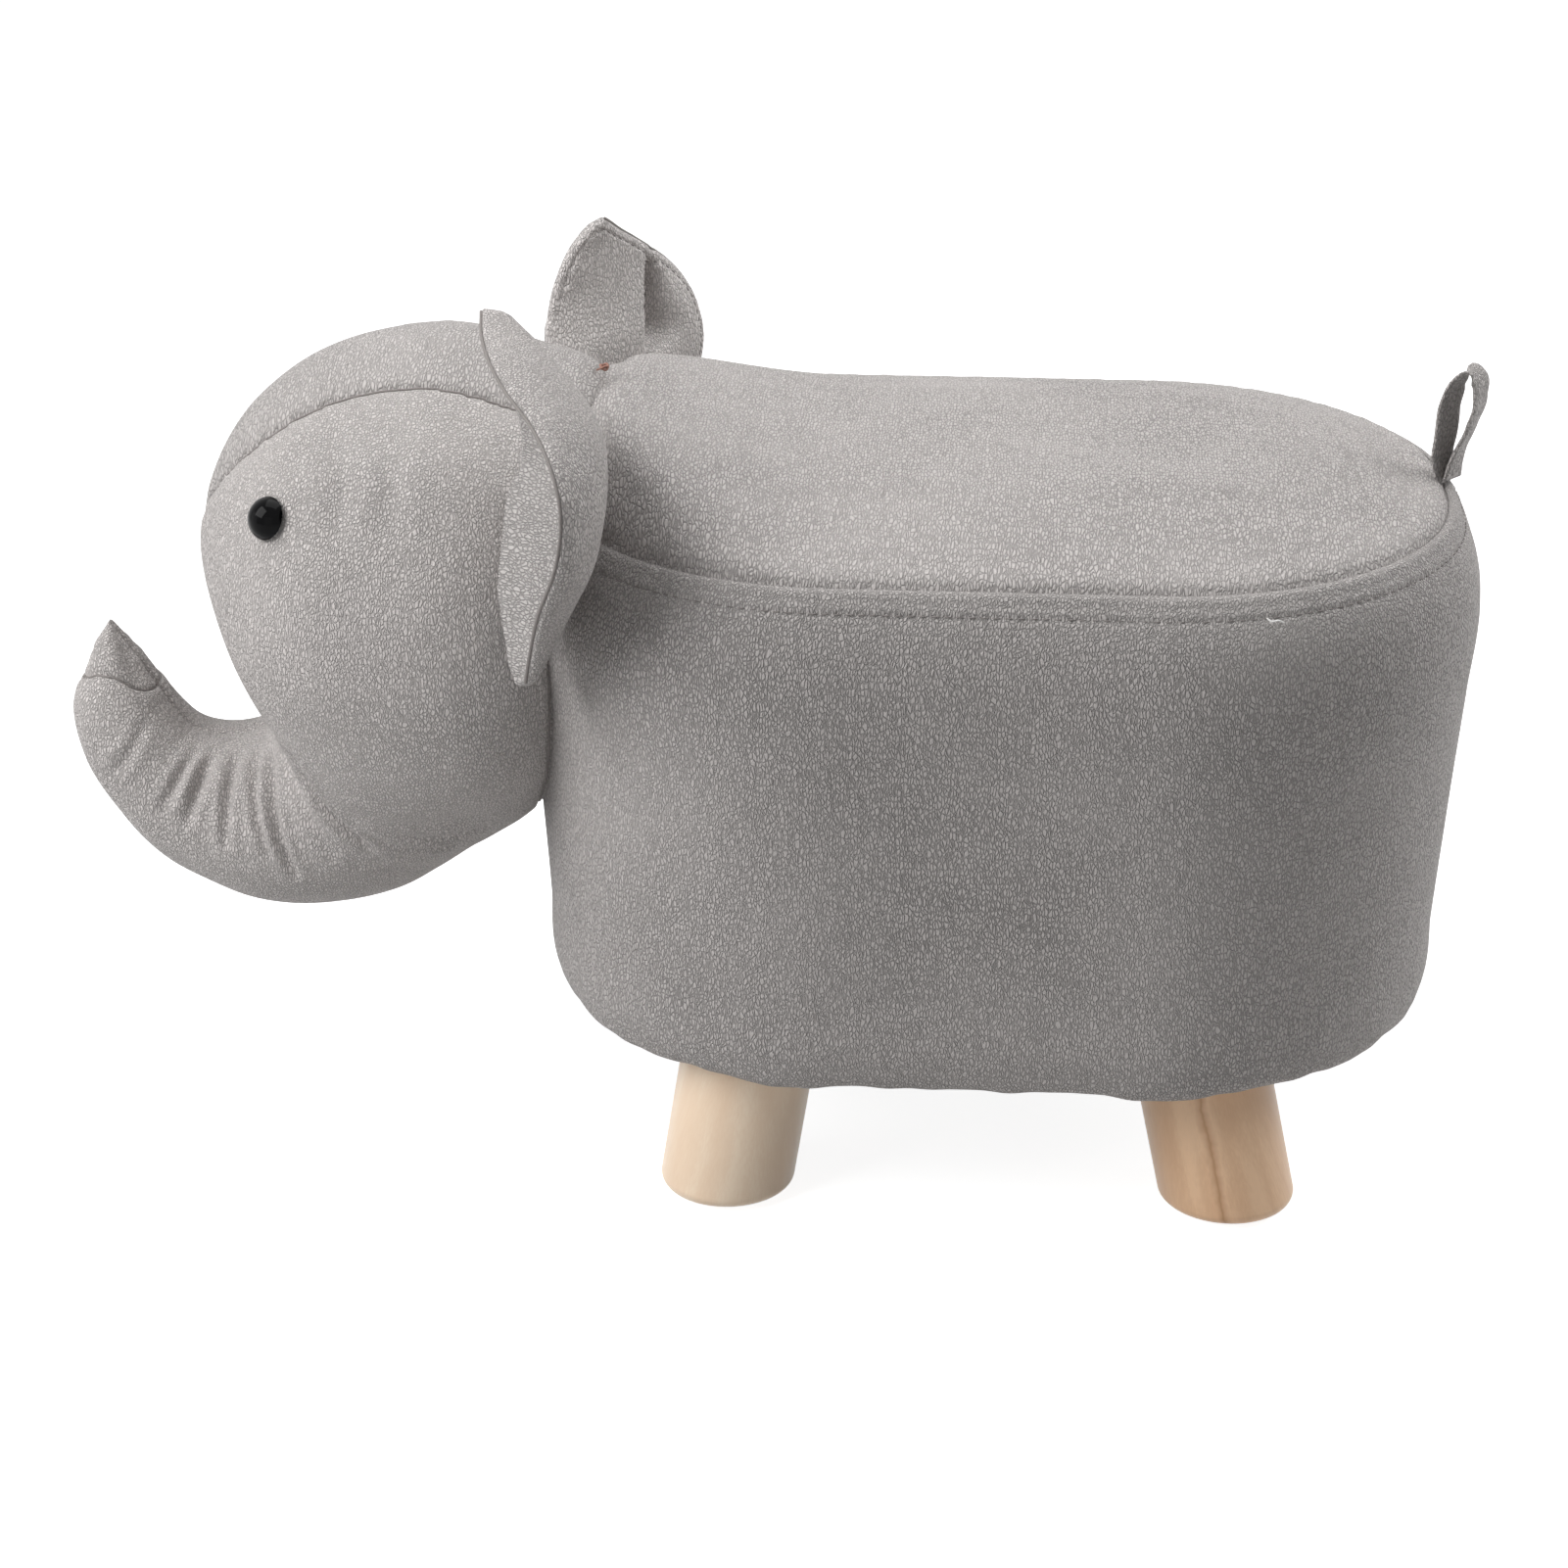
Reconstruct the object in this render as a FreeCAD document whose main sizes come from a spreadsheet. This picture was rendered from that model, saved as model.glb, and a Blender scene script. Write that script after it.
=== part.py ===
"""Elephant footstool: an oval upholstered seat on four splayed legs, with a stuffed head.

The frame's origin is on the floor under the middle of the whole length. +Z is up, the head
looks towards -X, and the animal's left side is towards -Y. Lengths are in millimetres and
angles in degrees.
"""
import FreeCAD
import Part
import Sketcher
import math
import os
import re
from FreeCAD import Placement, Rotation, Vector

doc = FreeCAD.newDocument("elephant_footstool")

# Driving dimensions: name, value, what it is
SIZES = [
    ("body_length", 356.0, "oval body, end to end at its widest"),
    ("body_width", 260.0, "oval body, side to side at its widest"),
    ("body_end_flat", 18.0, "straight part across each end of the widest outline"),
    ("body_setback", 87.4, "from the origin back to the middle of the body"),
    ("underside_height", 59.5, "floor to the underside of the cover"),
    ("widest_rise", 162.0, "underside to the widest outline"),
    ("seam_rise", 197.5, "underside to the seam round the seat"),
    ("seam_inset", 13.8, "widest outline in to the seat seam"),
    ("side_draw_in", 10.0, "widest outline in to the foot of the side"),
    ("bottom_roll", 11.0, "radius where the cover turns under"),
    ("hem_inset", 38.0, "widest outline in to the edge of the turned-in hem"),
    ("seat_crown", 16.0, "height of the seat's crown above its seam"),
    ("cover_thickness", 1.6, "coated upholstery fabric"),
    ("ply_gap", 0.3, "clearance between curved neighbours"),
    ("dust_thickness", 0.6, "dust cloth under the seat"),
    ("dust_inset", 25.0, "widest outline in to the edge of the dust cloth"),
    ("wrap_inset", 24.0, "widest outline in to the hardboard wrap"),
    ("wrap_thickness", 3.0, "hardboard wrap"),
    ("base_board_thickness", 12.0, "plywood base"),
    ("seat_board_thickness", 9.0, "plywood under the seat foam"),
    ("seat_board_rise", 154.5, "underside to the top of the seat board"),
    ("rib_thickness", 15.0, "plywood ribs"),
    ("rib_spacing", 96.0, "between the middles of the two cross ribs"),
    ("rib_end_gap", 6.0, "rib end to the wrap"),
    ("joint_clearance", 0.2, "play in a lapped or drilled joint"),
    ("screw_diameter", 4.0, "board screw shank"),
    ("screw_head_diameter", 8.0, "countersunk head"),
    ("screw_head_depth", 2.5, "countersunk head, depth"),
    ("screw_length", 34.0, "board screw, head included"),
    ("screw_spread", 56.0, "board screws, out from the middle of a rib"),
    ("leg_diameter", 50.0, "turned pine leg"),
    ("leg_front_reach", 87.0, "middle of the body forward to a front leg's top"),
    ("leg_rear_reach", 80.5, "middle of the body back to a rear leg's top"),
    ("leg_spread", 74.0, "middle of the body out to a leg's top"),
    ("leg_round", 4.0, "rounding of a leg's lower edge"),
    ("front_splay", 9.0, "front legs' lean forward"),
    ("rear_splay", 12.5, "rear legs' lean back"),
    ("side_splay", 7.0, "all legs' lean outward"),
    ("pad_diameter", 32.0, "felt foot pad"),
    ("pad_thickness", 2.0, "felt foot pad"),
    ("bolt_diameter", 8.0, "hanger bolt"),
    ("bolt_depth", 26.0, "hanger bolt's hold in the leg"),
    ("nut_flange_diameter", 22.0, "tee nut flange"),
    ("nut_flange_thickness", 1.5, "tee nut flange"),
    ("nut_barrel_diameter", 11.0, "tee nut barrel"),
    ("nut_barrel_length", 9.0, "tee nut barrel"),
    ("head_length", 123.0, "front of the body to the front of the face"),
    ("head_rise", 249.5, "underside to the crown of the head"),
    ("head_width", 180.0, "cheek to cheek"),
    ("gusset_width", 78.0, "strip over the crown of the head"),
    ("gusset_stop", 3.0, "front of the face back to the gusset's tip"),
    ("trunk_reach", 86.0, "crease under the face to the front of the trunk"),
    ("trunk_drop", 92.0, "crease under the face down to the lowest point"),
    ("trunk_width", 88.0, "trunk at its root"),
    ("bolster_length", 74.0, "neck back along the seat to the end of the bolster"),
    ("bolster_rise", 34.0, "bolster at the neck, above the seat seam"),
    ("bolster_width", 150.0, "bolster at the neck"),
    ("ear_back", 11.8, "front of the body back to the ear's hinge line"),
    ("ear_tilt", 28.0, "hinge line's lean towards the crown"),
    ("ear_reach", 80.0, "hinge line out to the ear's rim"),
    ("ear_upper", 72.0, "middle of the hinge line up to the ear's tip"),
    ("ear_lower", 47.0, "middle of the hinge line down to the ear's foot"),
    ("ear_cup_depth", 29.0, "hinge line back to the deepest of the ear's bend"),
    ("ear_root_radius", 3.0, "rolled seam at the ear's root"),
    ("ear_core_thickness", 2.6, "wadding between the ear's panels"),
    ("ear_right_swing", 10.0, "how much further back the right ear stands"),
    ("eye_diameter", 16.0, "button eye"),
    ("eye_dome", 6.0, "height of the eye's dome"),
    ("eye_forward", 83.0, "front of the body forward to the eye"),
    ("eye_rise", 199.5, "underside up to the eye"),
    ("eye_post_diameter", 5.0, "post behind the eye"),
    ("eye_post_length", 12.0, "post behind the eye"),
    ("washer_diameter", 18.0, "washer behind the cover"),
    ("washer_thickness", 2.0, "washer behind the cover"),
    ("washer_depth", 3.2, "eye's back to the washer"),
    ("tail_rise", 34.0, "tail's hinge line to the middle of its bow"),
    ("tail_bow_radius", 7.5, "outer radius of the tail's bow"),
    ("tail_width", 14.0, "width of the tail's strap"),
    ("tail_ply", 2.2, "thickness of the folded strap"),
    ("tail_slit_rise", 10.0, "tail's hinge line to the foot of its slit"),
    ("tail_lean", 14.0, "tail's lean to the rear"),
    ("tail_offset", 8.0, "tail to the right of the middle, as it is sewn"),
    ("tail_seat_angle", 50.0, "way out of the seat seam, up from level"),
    ("overrun", 5.0, "how far a cutting shape runs past the work"),
]
ALIASES = {alias for alias, _, _ in SIZES}

sheet = doc.addObject("Spreadsheet::Sheet", "sizes")
for row, (alias, value, note) in enumerate(SIZES, start=1):
    sheet.set("A%d" % row, alias)
    sheet.set("B%d" % row, str(value))
    sheet.set("C%d" % row, note)
    sheet.setAlias("B%d" % row, alias)
doc.recompute()


def size(alias):
    """The value of one driving dimension."""
    return float(getattr(sheet, alias))


def cells(formula):
    """A formula in which each driving dimension's name refers to its cell."""
    return re.sub(r"[a-z_]+", lambda word: "sizes." * (word[0] in ALIASES) + word[0], formula)


def number(formula):
    """What a formula comes to."""
    return float(sheet.evalExpression(cells(formula)))


def bind(thing, **formulas):
    """Tie properties of an object to formulas. A double underscore stands for a dot."""
    for prop, formula in formulas.items():
        thing.setExpression(prop.replace("__", "."), cells(formula))
    return thing


def place(thing, x="0", y="0", z="0"):
    """Tie an object's position to formulas."""
    return bind(thing, Placement__Base__x=x, Placement__Base__y=y, Placement__Base__z=z)


# Heights and places that several pieces share
BODY_X = "body_setback"
BODY_FRONT = "(body_setback - body_length / 2)"
SEAM_HEIGHT = "(underside_height + seam_rise)"
BASE_BOTTOM = "(underside_height + cover_thickness)"
BASE_TOP = "(underside_height + cover_thickness + base_board_thickness)"
SEAT_BOARD_TOP = "(underside_height + seat_board_rise)"
SEAT_BOARD_BOTTOM = "(underside_height + seat_board_rise - seat_board_thickness)"
LEG_TOP = "(underside_height - dust_thickness)"
BOARD_INSET = "(wrap_inset + wrap_thickness)"
COVER = "cover_thickness"
FOAM = "(cover_thickness + ply_gap)"


# Outlines

def oval(name, inset, height, body=None):
    """Sketch of the body's outline, drawn in by an inset, at a height."""
    half_length = "body_length / 2 - (%s)" % inset
    half_width = "body_width / 2 - (%s)" % inset
    corner = "(body_width - body_end_flat) / 2 - (%s)" % inset
    a, b, c = number(half_length), number(half_width), number(corner)
    if body:
        sketch = body.newObject("Sketcher::SketchObject", name)
    else:
        sketch = doc.addObject("Sketcher::SketchObject", name)
        place(sketch, BODY_X, "0", height)
    ends = [(a, c - b), (a, b - c), (a - c, b), (c - a, b), (-a, b - c), (-a, c - b), (c - a, -b), (a - c, -b)]
    for side in range(4):
        start, end = (Vector(*ends[2 * side], 0), Vector(*ends[2 * side + 1], 0))
        sketch.addGeometry(Part.LineSegment(start, end), False)
        middle = Vector((a - c) * (1, -1, -1, 1)[side], (b - c) * (1, 1, -1, -1)[side], 0)
        circle = Part.Circle(middle, Vector(0, 0, 1), c)
        quarter = math.pi / 2
        sketch.addGeometry(Part.ArcOfCircle(circle, side * quarter, (side + 1) * quarter), False)
    for edge in range(8):
        sketch.addConstraint(Sketcher.Constraint("Tangent", edge, 2, (edge + 1) % 8, 1))
    for edge, way in ((0, "Vertical"), (2, "Horizontal"), (4, "Vertical"), (6, "Horizontal")):
        sketch.addConstraint(Sketcher.Constraint(way, edge))
    for edge in (3, 5, 7):
        sketch.addConstraint(Sketcher.Constraint("Equal", 1, edge))
    driven = [
        ("right", Sketcher.Constraint("DistanceX", -1, 1, 0, 1, a), half_length),
        ("left", Sketcher.Constraint("DistanceX", 4, 1, -1, 1, a), half_length),
        ("top", Sketcher.Constraint("DistanceY", -1, 1, 2, 1, b), half_width),
        ("bottom", Sketcher.Constraint("DistanceY", 6, 1, -1, 1, b), half_width),
        ("corner", Sketcher.Constraint("Radius", 1, c), corner),
    ]
    for label, constraint, formula in driven:
        sketch.renameConstraint(sketch.addConstraint(constraint), label)
        sketch.setExpression("Constraints." + label, cells(formula))
    return sketch


def outline(sketch, corners):
    """Closed outline of lines and arcs in a sketch.

    Each corner is (x, y) or (x, y, radius, bulge): formulas for the corner and for the radius
    of the arc from it to the next one, and +1 or -1 for an arc that turns left or right.
    """
    spots = [Vector(number(corner[0]), number(corner[1]), 0) for corner in corners]
    for index, corner in enumerate(corners):
        start, end = spots[index], spots[(index + 1) % len(spots)]
        if len(corner) == 2:
            sketch.addGeometry(Part.LineSegment(start, end), False)
            continue
        radius, bulge = number(corner[2]), corner[3]
        along = end - start
        half = along.Length / 2
        left = Vector(-along.y, along.x, 0).normalize()
        middle = start + along / 2 + left * (bulge * math.sqrt(radius ** 2 - half ** 2))
        crest = middle + ((start + along / 2) - middle).normalize() * radius
        sketch.addGeometry(Part.Arc(start, crest, end), False)
    count = len(corners)
    firsts = []
    for index, corner in enumerate(corners):
        # An arc runs anticlockwise in a sketch, so one that turns right starts at its far end
        turned = len(corner) == 4 and corner[3] < 0
        firsts.append((2, 1) if turned else (1, 2))
    for index in range(count):
        follower = (index + 1) % count
        sketch.addConstraint(Sketcher.Constraint(
            "Coincident", index, firsts[index][1], follower, firsts[follower][0]))
    for index, corner in enumerate(corners):
        start = firsts[index][0]
        driven = [
            ("x%d" % index, Sketcher.Constraint("DistanceX", -1, 1, index, start, spots[index].x), corner[0]),
            ("y%d" % index, Sketcher.Constraint("DistanceY", -1, 1, index, start, spots[index].y), corner[1]),
        ]
        if len(corner) == 4:
            driven.append(("radius%d" % index, Sketcher.Constraint("Radius", index, number(corner[2])), corner[2]))
        for label, constraint, formula in driven:
            sketch.renameConstraint(sketch.addConstraint(constraint), label)
            sketch.setExpression("Constraints." + label, cells(formula))
    return sketch


def on_plane(body, sketch, role):
    """Attach a body's sketch to one of the body's own origin planes."""
    for feature in body.Origin.OriginFeatures:
        if feature.Role == role:
            sketch.AttachmentSupport = [(feature, "")]
    sketch.MapMode = "FlatFace"
    return sketch


# Operations

def loft(name, sections):
    """Solid through a row of sketches."""
    solid = doc.addObject("Part::Loft", name)
    solid.Sections = sections
    solid.Solid = True
    solid.Ruled = False
    return solid


def cut(name, base, tool):
    """One solid less another."""
    result = doc.addObject("Part::Cut", name)
    result.Base, result.Tool = base, tool
    return result


def common(name, base, tool):
    """What two solids share."""
    result = doc.addObject("Part::Common", name)
    result.Base, result.Tool = base, tool
    return result


def fuse(name, pieces):
    """Several solids as one."""
    result = doc.addObject("Part::MultiFuse", name)
    result.Shapes = pieces
    return result


def group(name, pieces):
    """Several solids kept apart in one node."""
    result = doc.addObject("Part::Compound", name)
    result.Links = pieces
    return result


def block(name, low, high):
    """Box between two corners, each a triple of formulas."""
    spans = ["%s - (%s)" % (b, a) for a, b in zip(low, high)]
    box = bind(doc.addObject("Part::Box", name), Length=spans[0], Width=spans[1], Height=spans[2])
    return place(box, *low)


def rod(name, radius, height, x, y, z):
    """Upright cylinder from a place up."""
    cylinder = bind(doc.addObject("Part::Cylinder", name), Radius=radius, Height=height)
    return place(cylinder, x, y, z)


def made(name, shape):
    """A shape worked out here, kept as an object."""
    feature = doc.addObject("Part::Feature", name)
    feature.Shape = shape
    return feature


# Body: nested layers of one crowned oval form

# Rows of the side between its foot and its widest, between its widest and the seam, and of the
# crown from the seam to its middle: each a share of the rise and a share of the drawing in
SIDE_SHARES = ((0.16, 0.86), (0.36, 0.68), (0.56, 0.5), (0.78, 0.25))
SHOULDER_SHARES = ((0.3, 0.07), (0.62, 0.3), (0.84, 0.6))
CROWN_SHARES = ((0.16, 0.42), (0.42, 0.79), (0.74, 1.0))


def side_form(name, inset):
    """The upright part of the body, drawn in by an inset all round, closed flat at the seam."""
    rolled = "(bottom_roll - (%s))" % inset
    foot = "side_draw_in + bottom_roll"
    rows = [
        ("bottom_roll - %s" % rolled, foot),
        ("bottom_roll - %s * cos(45)" % rolled, "%s - %s * sin(45)" % (foot, rolled)),
        ("bottom_roll", "side_draw_in + %s" % inset),
    ]
    rows += [("bottom_roll + (widest_rise - bottom_roll) * %g" % up, "side_draw_in * %g + %s" % (inward, inset))
             for up, inward in SIDE_SHARES]
    rows.append(("widest_rise", inset))
    rows += [("widest_rise + (seam_rise - widest_rise) * %g" % up, "seam_inset * %g + %s" % (inward, inset))
             for up, inward in SHOULDER_SHARES]
    rows.append(("seam_rise", "seam_inset + %s" % inset))
    sections = [oval("%s_row_%d" % (name, index), row[1], "underside_height + " + row[0])
                for index, row in enumerate(rows)]
    return loft(name, sections)


def crown_form(name, inset):
    """The crowned seat above the seam, drawn in and lowered by an inset."""
    span = "(body_width / 2 - seam_inset - (%s))" % inset
    sections = [oval(name + "_rim", "seam_inset + " + inset, SEAM_HEIGHT)]
    for index, (inward, up) in enumerate(CROWN_SHARES):
        draw = "seam_inset + %s + %s * %g" % (inset, span, inward)
        height = "%s + seat_crown * %g - (%s)" % (SEAM_HEIGHT, up, inset)
        sections.append(oval("%s_row_%d" % (name, index), draw, height))
    return loft(name, sections)


side_outer = side_form("side_outer", "0")
side_inner = side_form("side_inner", COVER)
side_foam_form = side_form("side_foam_form", FOAM)
crown_outer = crown_form("crown_outer", "0")
crown_inner = crown_form("crown_inner", COVER)
crown_foam_form = crown_form("crown_foam_form", FOAM)
body_clearance = fuse("body_clearance", [side_form("side_clearance", "(0 - ply_gap)"),
                                         crown_form("crown_clearance", "(0 - ply_gap)")])
FAR = "(body_length + body_width)"


def slab(name, low, high):
    """Everything between two heights."""
    return block(name, ("0 - " + FAR, "0 - " + FAR, low), (FAR, FAR, high))


def plate(name, inset, height, thickness):
    """Flat board or cloth with the body's outline, as a body with one pad."""
    body = doc.addObject("PartDesign::Body", name)
    sketch = on_plane(body, oval(name + "_outline", inset, "0", body), "XY_Plane")
    pad = body.newObject("PartDesign::Pad", name + "_pad")
    pad.Profile = sketch
    bind(pad, Length=thickness)
    return place(body, BODY_X, "0", height)


def side_cover():
    """Fabric band round the side, turned in under the base."""
    band = cut("side_band", side_outer, side_inner)
    window = plate("hem_window", "hem_inset", "underside_height - overrun", "2 * overrun")
    return cut("side_cover", band, window)


def seat_cover():
    """Crowned fabric panel over the seat, resting on the top edge of the side band."""
    return cut("seat_cover", crown_outer, crown_inner)


def seat_foam():
    """Foam slab over the seat board, crowned like the cover."""
    slab_part = common("seat_foam_slab", side_foam_form, slab("above_board", SEAT_BOARD_TOP, SEAM_HEIGHT))
    return fuse("seat_foam", [slab_part, crown_foam_form])


def side_foam():
    """Foam round the hardboard wrap."""
    ring = common("side_foam_ring", side_foam_form, slab("below_board", BASE_BOTTOM, SEAT_BOARD_TOP))
    core = plate("wrap_space", "wrap_inset - ply_gap", "underside_height", "seat_board_rise + overrun")
    return cut("side_foam", ring, core)


def side_wrap():
    """Hardboard bent round both boards."""
    height = "%s - %s" % (SEAT_BOARD_TOP, BASE_BOTTOM)
    outer = plate("wrap_outer", "wrap_inset", BASE_BOTTOM, height)
    inner = plate("wrap_inner", BOARD_INSET, "%s - overrun" % BASE_BOTTOM, "%s + 2 * overrun" % height)
    return cut("side_wrap", outer, inner)


# Fasteners and the boards they go through

LEGS = {
    "front_left": (-1, -1),
    "front_right": (-1, 1),
    "rear_left": (1, -1),
    "rear_right": (1, 1),
}


def leg_top(corner):
    """Where a leg's top meets the underside, as two formulas."""
    along, across = LEGS[corner]
    reach = "leg_front_reach" if along < 0 else "leg_rear_reach"
    return "%s + (%d) * %s" % (BODY_X, along, reach), "(%d) * leg_spread" % across


def screw(name, x, y, face, way, play):
    """Countersunk screw from the face of a board, going up (+1) or down (-1)."""
    head_radius = "screw_head_diameter / 2 + " + play
    shank_radius = "screw_diameter / 2 + " + play
    length = "screw_length + " + play
    shank = rod(name + "_shank", shank_radius, length, x, y, face if way > 0 else "%s - (%s)" % (face, length))
    head = bind(doc.addObject("Part::Cone", name + "_head"), Height="screw_head_depth",
                Radius1=head_radius if way > 0 else shank_radius,
                Radius2=shank_radius if way > 0 else head_radius)
    place(head, x, y, face if way > 0 else face + " - screw_head_depth")
    return fuse(name, [shank, head])


def screws(name, play):
    """All board screws, or the holes for them with play added."""
    pieces = []
    for level, (face, way) in {"seat": (SEAT_BOARD_TOP, -1), "base": (BASE_BOTTOM, 1)}.items():
        for corner, (along, across) in LEGS.items():
            x = "%s + (%d) * rib_spacing / 2" % (BODY_X, along)
            y = "(%d) * screw_spread" % across
            pieces.append(screw("%s_%s_%s" % (name, level, corner), x, y, face, way, play))
    return group(name, pieces)


def tee_nut(corner):
    """Flange on the base board with a barrel down through it, bored for the bolt."""
    x, y = leg_top(corner)
    flange = rod("nut_flange_" + corner, "nut_flange_diameter / 2", "nut_flange_thickness", x, y, BASE_TOP)
    barrel = rod("nut_barrel_" + corner, "nut_barrel_diameter / 2", "nut_barrel_length + nut_flange_thickness",
                 x, y, "%s - nut_barrel_length" % BASE_TOP)
    bore = rod("nut_bore_" + corner, "bolt_diameter / 2 + joint_clearance", "base_board_thickness + 2 * overrun",
               x, y, "%s - base_board_thickness" % BASE_TOP)
    return cut("tee_nut_" + corner, fuse("nut_body_" + corner, [flange, barrel]), bore)


def leg_bolt(corner, name, play):
    """Hanger bolt from the nut down into the leg, or the hole for it with play added."""
    x, y = leg_top(corner)
    low = "(%s - bolt_depth - (%s))" % (LEG_TOP, play)
    high = "(%s + nut_flange_thickness)" % BASE_TOP
    return rod(name + corner, "bolt_diameter / 2 + " + play, "%s - %s" % (high, low), x, y, low)


screw_holes = screws("screw_holes", "joint_clearance / 2")
bolt_holes = group("bolt_holes", [leg_bolt(corner, "bolt_hole_", "joint_clearance") for corner in LEGS])
barrel_holes = group("barrel_holes", [
    rod("barrel_hole_" + corner, "nut_barrel_diameter / 2 + joint_clearance", "base_board_thickness + 2 * overrun",
        *leg_top(corner), BASE_BOTTOM + " - overrun") for corner in LEGS])


def base_board():
    """Plywood oval drilled for the nuts and the rib screws."""
    drilled = cut("base_board_drilled", plate("base_blank", BOARD_INSET, BASE_BOTTOM, "base_board_thickness"),
                  barrel_holes)
    return cut("base_board", drilled, screw_holes)


def seat_board():
    """Plywood oval under the seat foam."""
    blank = plate("seat_blank", BOARD_INSET, SEAT_BOARD_BOTTOM, "seat_board_thickness")
    return cut("seat_board", blank, screw_holes)


RIB_HALF_LENGTH = "(body_width / 2 - %s - rib_end_gap)" % BOARD_INSET
SPINE_HALF_LENGTH = "(body_length / 2 - %s - rib_end_gap)" % BOARD_INSET
HALF_RIB = "rib_thickness / 2"
LAP_HEIGHT = "((%s + %s) / 2)" % (BASE_TOP, SEAT_BOARD_BOTTOM)


def cross_rib(name, along):
    """Upright rib across the body, slotted from below to sit over the spine."""
    x = "%s + (%d) * rib_spacing / 2" % (BODY_X, along)
    blank = block(name + "_blank", (x + " - " + HALF_RIB, "0 - " + RIB_HALF_LENGTH, BASE_TOP),
                  (x + " + " + HALF_RIB, RIB_HALF_LENGTH, SEAT_BOARD_BOTTOM))
    slot = block(name + "_slot",
                 (x + " - rib_thickness", "0 - rib_thickness / 2 - joint_clearance", BASE_TOP + " - overrun"),
                 (x + " + rib_thickness", "rib_thickness / 2 + joint_clearance", LAP_HEIGHT))
    return cut(name, cut(name + "_slotted", blank, slot), screw_holes)


def centre_spine():
    """Upright rib along the body, slotted from above for the cross ribs."""
    blank = block("spine_blank", (BODY_X + " - " + SPINE_HALF_LENGTH, "0 - " + HALF_RIB, BASE_TOP),
                  (BODY_X + " + " + SPINE_HALF_LENGTH, HALF_RIB, SEAT_BOARD_BOTTOM))
    slots = []
    for along in (-1, 1):
        x = "%s + (%d) * rib_spacing / 2" % (BODY_X, along)
        slots.append(block("spine_slot_%d" % (along + 2),
                           (x + " - rib_thickness / 2 - joint_clearance", "0 - rib_thickness", LAP_HEIGHT),
                           (x + " + rib_thickness / 2 + joint_clearance", "rib_thickness",
                            SEAT_BOARD_BOTTOM + " + overrun")))
    return cut("centre_spine", blank, group("spine_slots", slots))


def dust_cover():
    """Dust cloth over the hem, holed for the bolts."""
    cloth = plate("dust_cloth", "dust_inset", "underside_height - dust_thickness", "dust_thickness")
    return cut("dust_cover", cloth, bolt_holes)


# Legs

def leg_axis(corner):
    """Direction of a leg from its top to the floor."""
    along, across = LEGS[corner]
    splay = size("front_splay") if along < 0 else size("rear_splay")
    lean = math.tan(math.radians(size("side_splay")))
    return Vector(along * math.tan(math.radians(splay)), across * lean, -1).normalize()


def leg(corner):
    """Round leg leaning out, cut level at both ends, drilled for its bolt."""
    x, y = leg_top(corner)
    down = leg_axis(corner)
    top = Vector(number(x), number(y), number(LEG_TOP))
    reach = number("(underside_height + leg_diameter)") / -down.z
    stock = bind(doc.addObject("Part::Cylinder", "leg_stock_" + corner), Radius="leg_diameter / 2",
                 Height="underside_height * 2 + leg_diameter * 2")
    stock.Placement = Placement(top + down * reach, Rotation(Vector(0, 0, 1), down * -1))
    level = common("leg_level_" + corner, stock, slab("leg_span_" + corner, "pad_thickness", LEG_TOP))
    drilled = cut("leg_drilled_" + corner, level, bolt_holes)
    doc.recompute()
    rounded = doc.addObject("Part::Fillet", "leg_" + corner)
    rounded.Base = drilled
    radius = size("leg_round")
    floor_level = size("pad_thickness") + size("joint_clearance")
    foot = [index for index, edge in enumerate(drilled.Shape.Edges, start=1)
            if edge.optimalBoundingBox().ZMax < floor_level]
    rounded.Edges = [(index, radius, radius) for index in foot]
    return rounded


def foot_pad(corner):
    """Felt disc under a leg, in the middle of its flat."""
    x, y = leg_top(corner)
    down = leg_axis(corner)
    drop = number(LEG_TOP) - size("pad_thickness")
    spot = Vector(number(x), number(y), 0) + Vector(down.x, down.y, 0) * (drop / -down.z)
    pad = bind(doc.addObject("Part::Cylinder", "foot_pad_" + corner), Radius="pad_diameter / 2",
               Height="pad_thickness")
    pad.Placement = Placement(spot, Rotation())
    return pad


# Head and trunk: a fan of soft sections from the neck round to the trunk's tip

# Each head section: upper point and lower point as shares of the head's length forward of the
# body's front and of the crown's rise above the underside, then a share of the head's width.
# The last one lies at the crease under the face.
HEAD_SHARES = (
    ((-0.356, 0.928), (-0.259, 0.335), 0.76),
    ((-0.047, 0.972), (-0.096, 0.283), 0.91),
    ((0.229, 1.000), (-0.007, 0.251), 1.00),
    ((0.498, 0.980), (0.050, 0.230), 1.00),
    ((0.745, 0.916), (0.099, 0.212), 0.96),
    ((0.905, 0.812), (0.140, 0.198), 0.89),
    ((0.974, 0.691), (0.172, 0.186), 0.80),
    ((0.918, 0.583), (0.205, 0.174), 0.71),
    ((0.840, 0.499), (0.237, 0.162), 0.63),
    ((0.776, 0.423), (0.278, 0.148), 0.57),
)
# Each trunk section: points as shares of the trunk's reach forward of the crease and of its drop
# below the crease, then a share of the trunk's width
TRUNK_SHARES = (
    ((0.035, -0.114), (-0.570, -0.840), 1.07),
    ((0.105, -0.163), (-0.360, -0.900), 1.00),
    ((0.209, -0.196), (-0.070, -0.930), 0.93),
    ((0.314, -0.196), (0.234, -0.880), 0.84),
    ((0.407, -0.163), (0.515, -0.763), 0.75),
    ((0.465, -0.109), (0.730, -0.556), 0.66),
    ((0.512, -0.043), (0.893, -0.283), 0.57),
    ((0.535, 0.000), (0.930, -0.033), 0.48),
    ((0.570, 0.043), (0.849, 0.152), 0.35),
)
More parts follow.
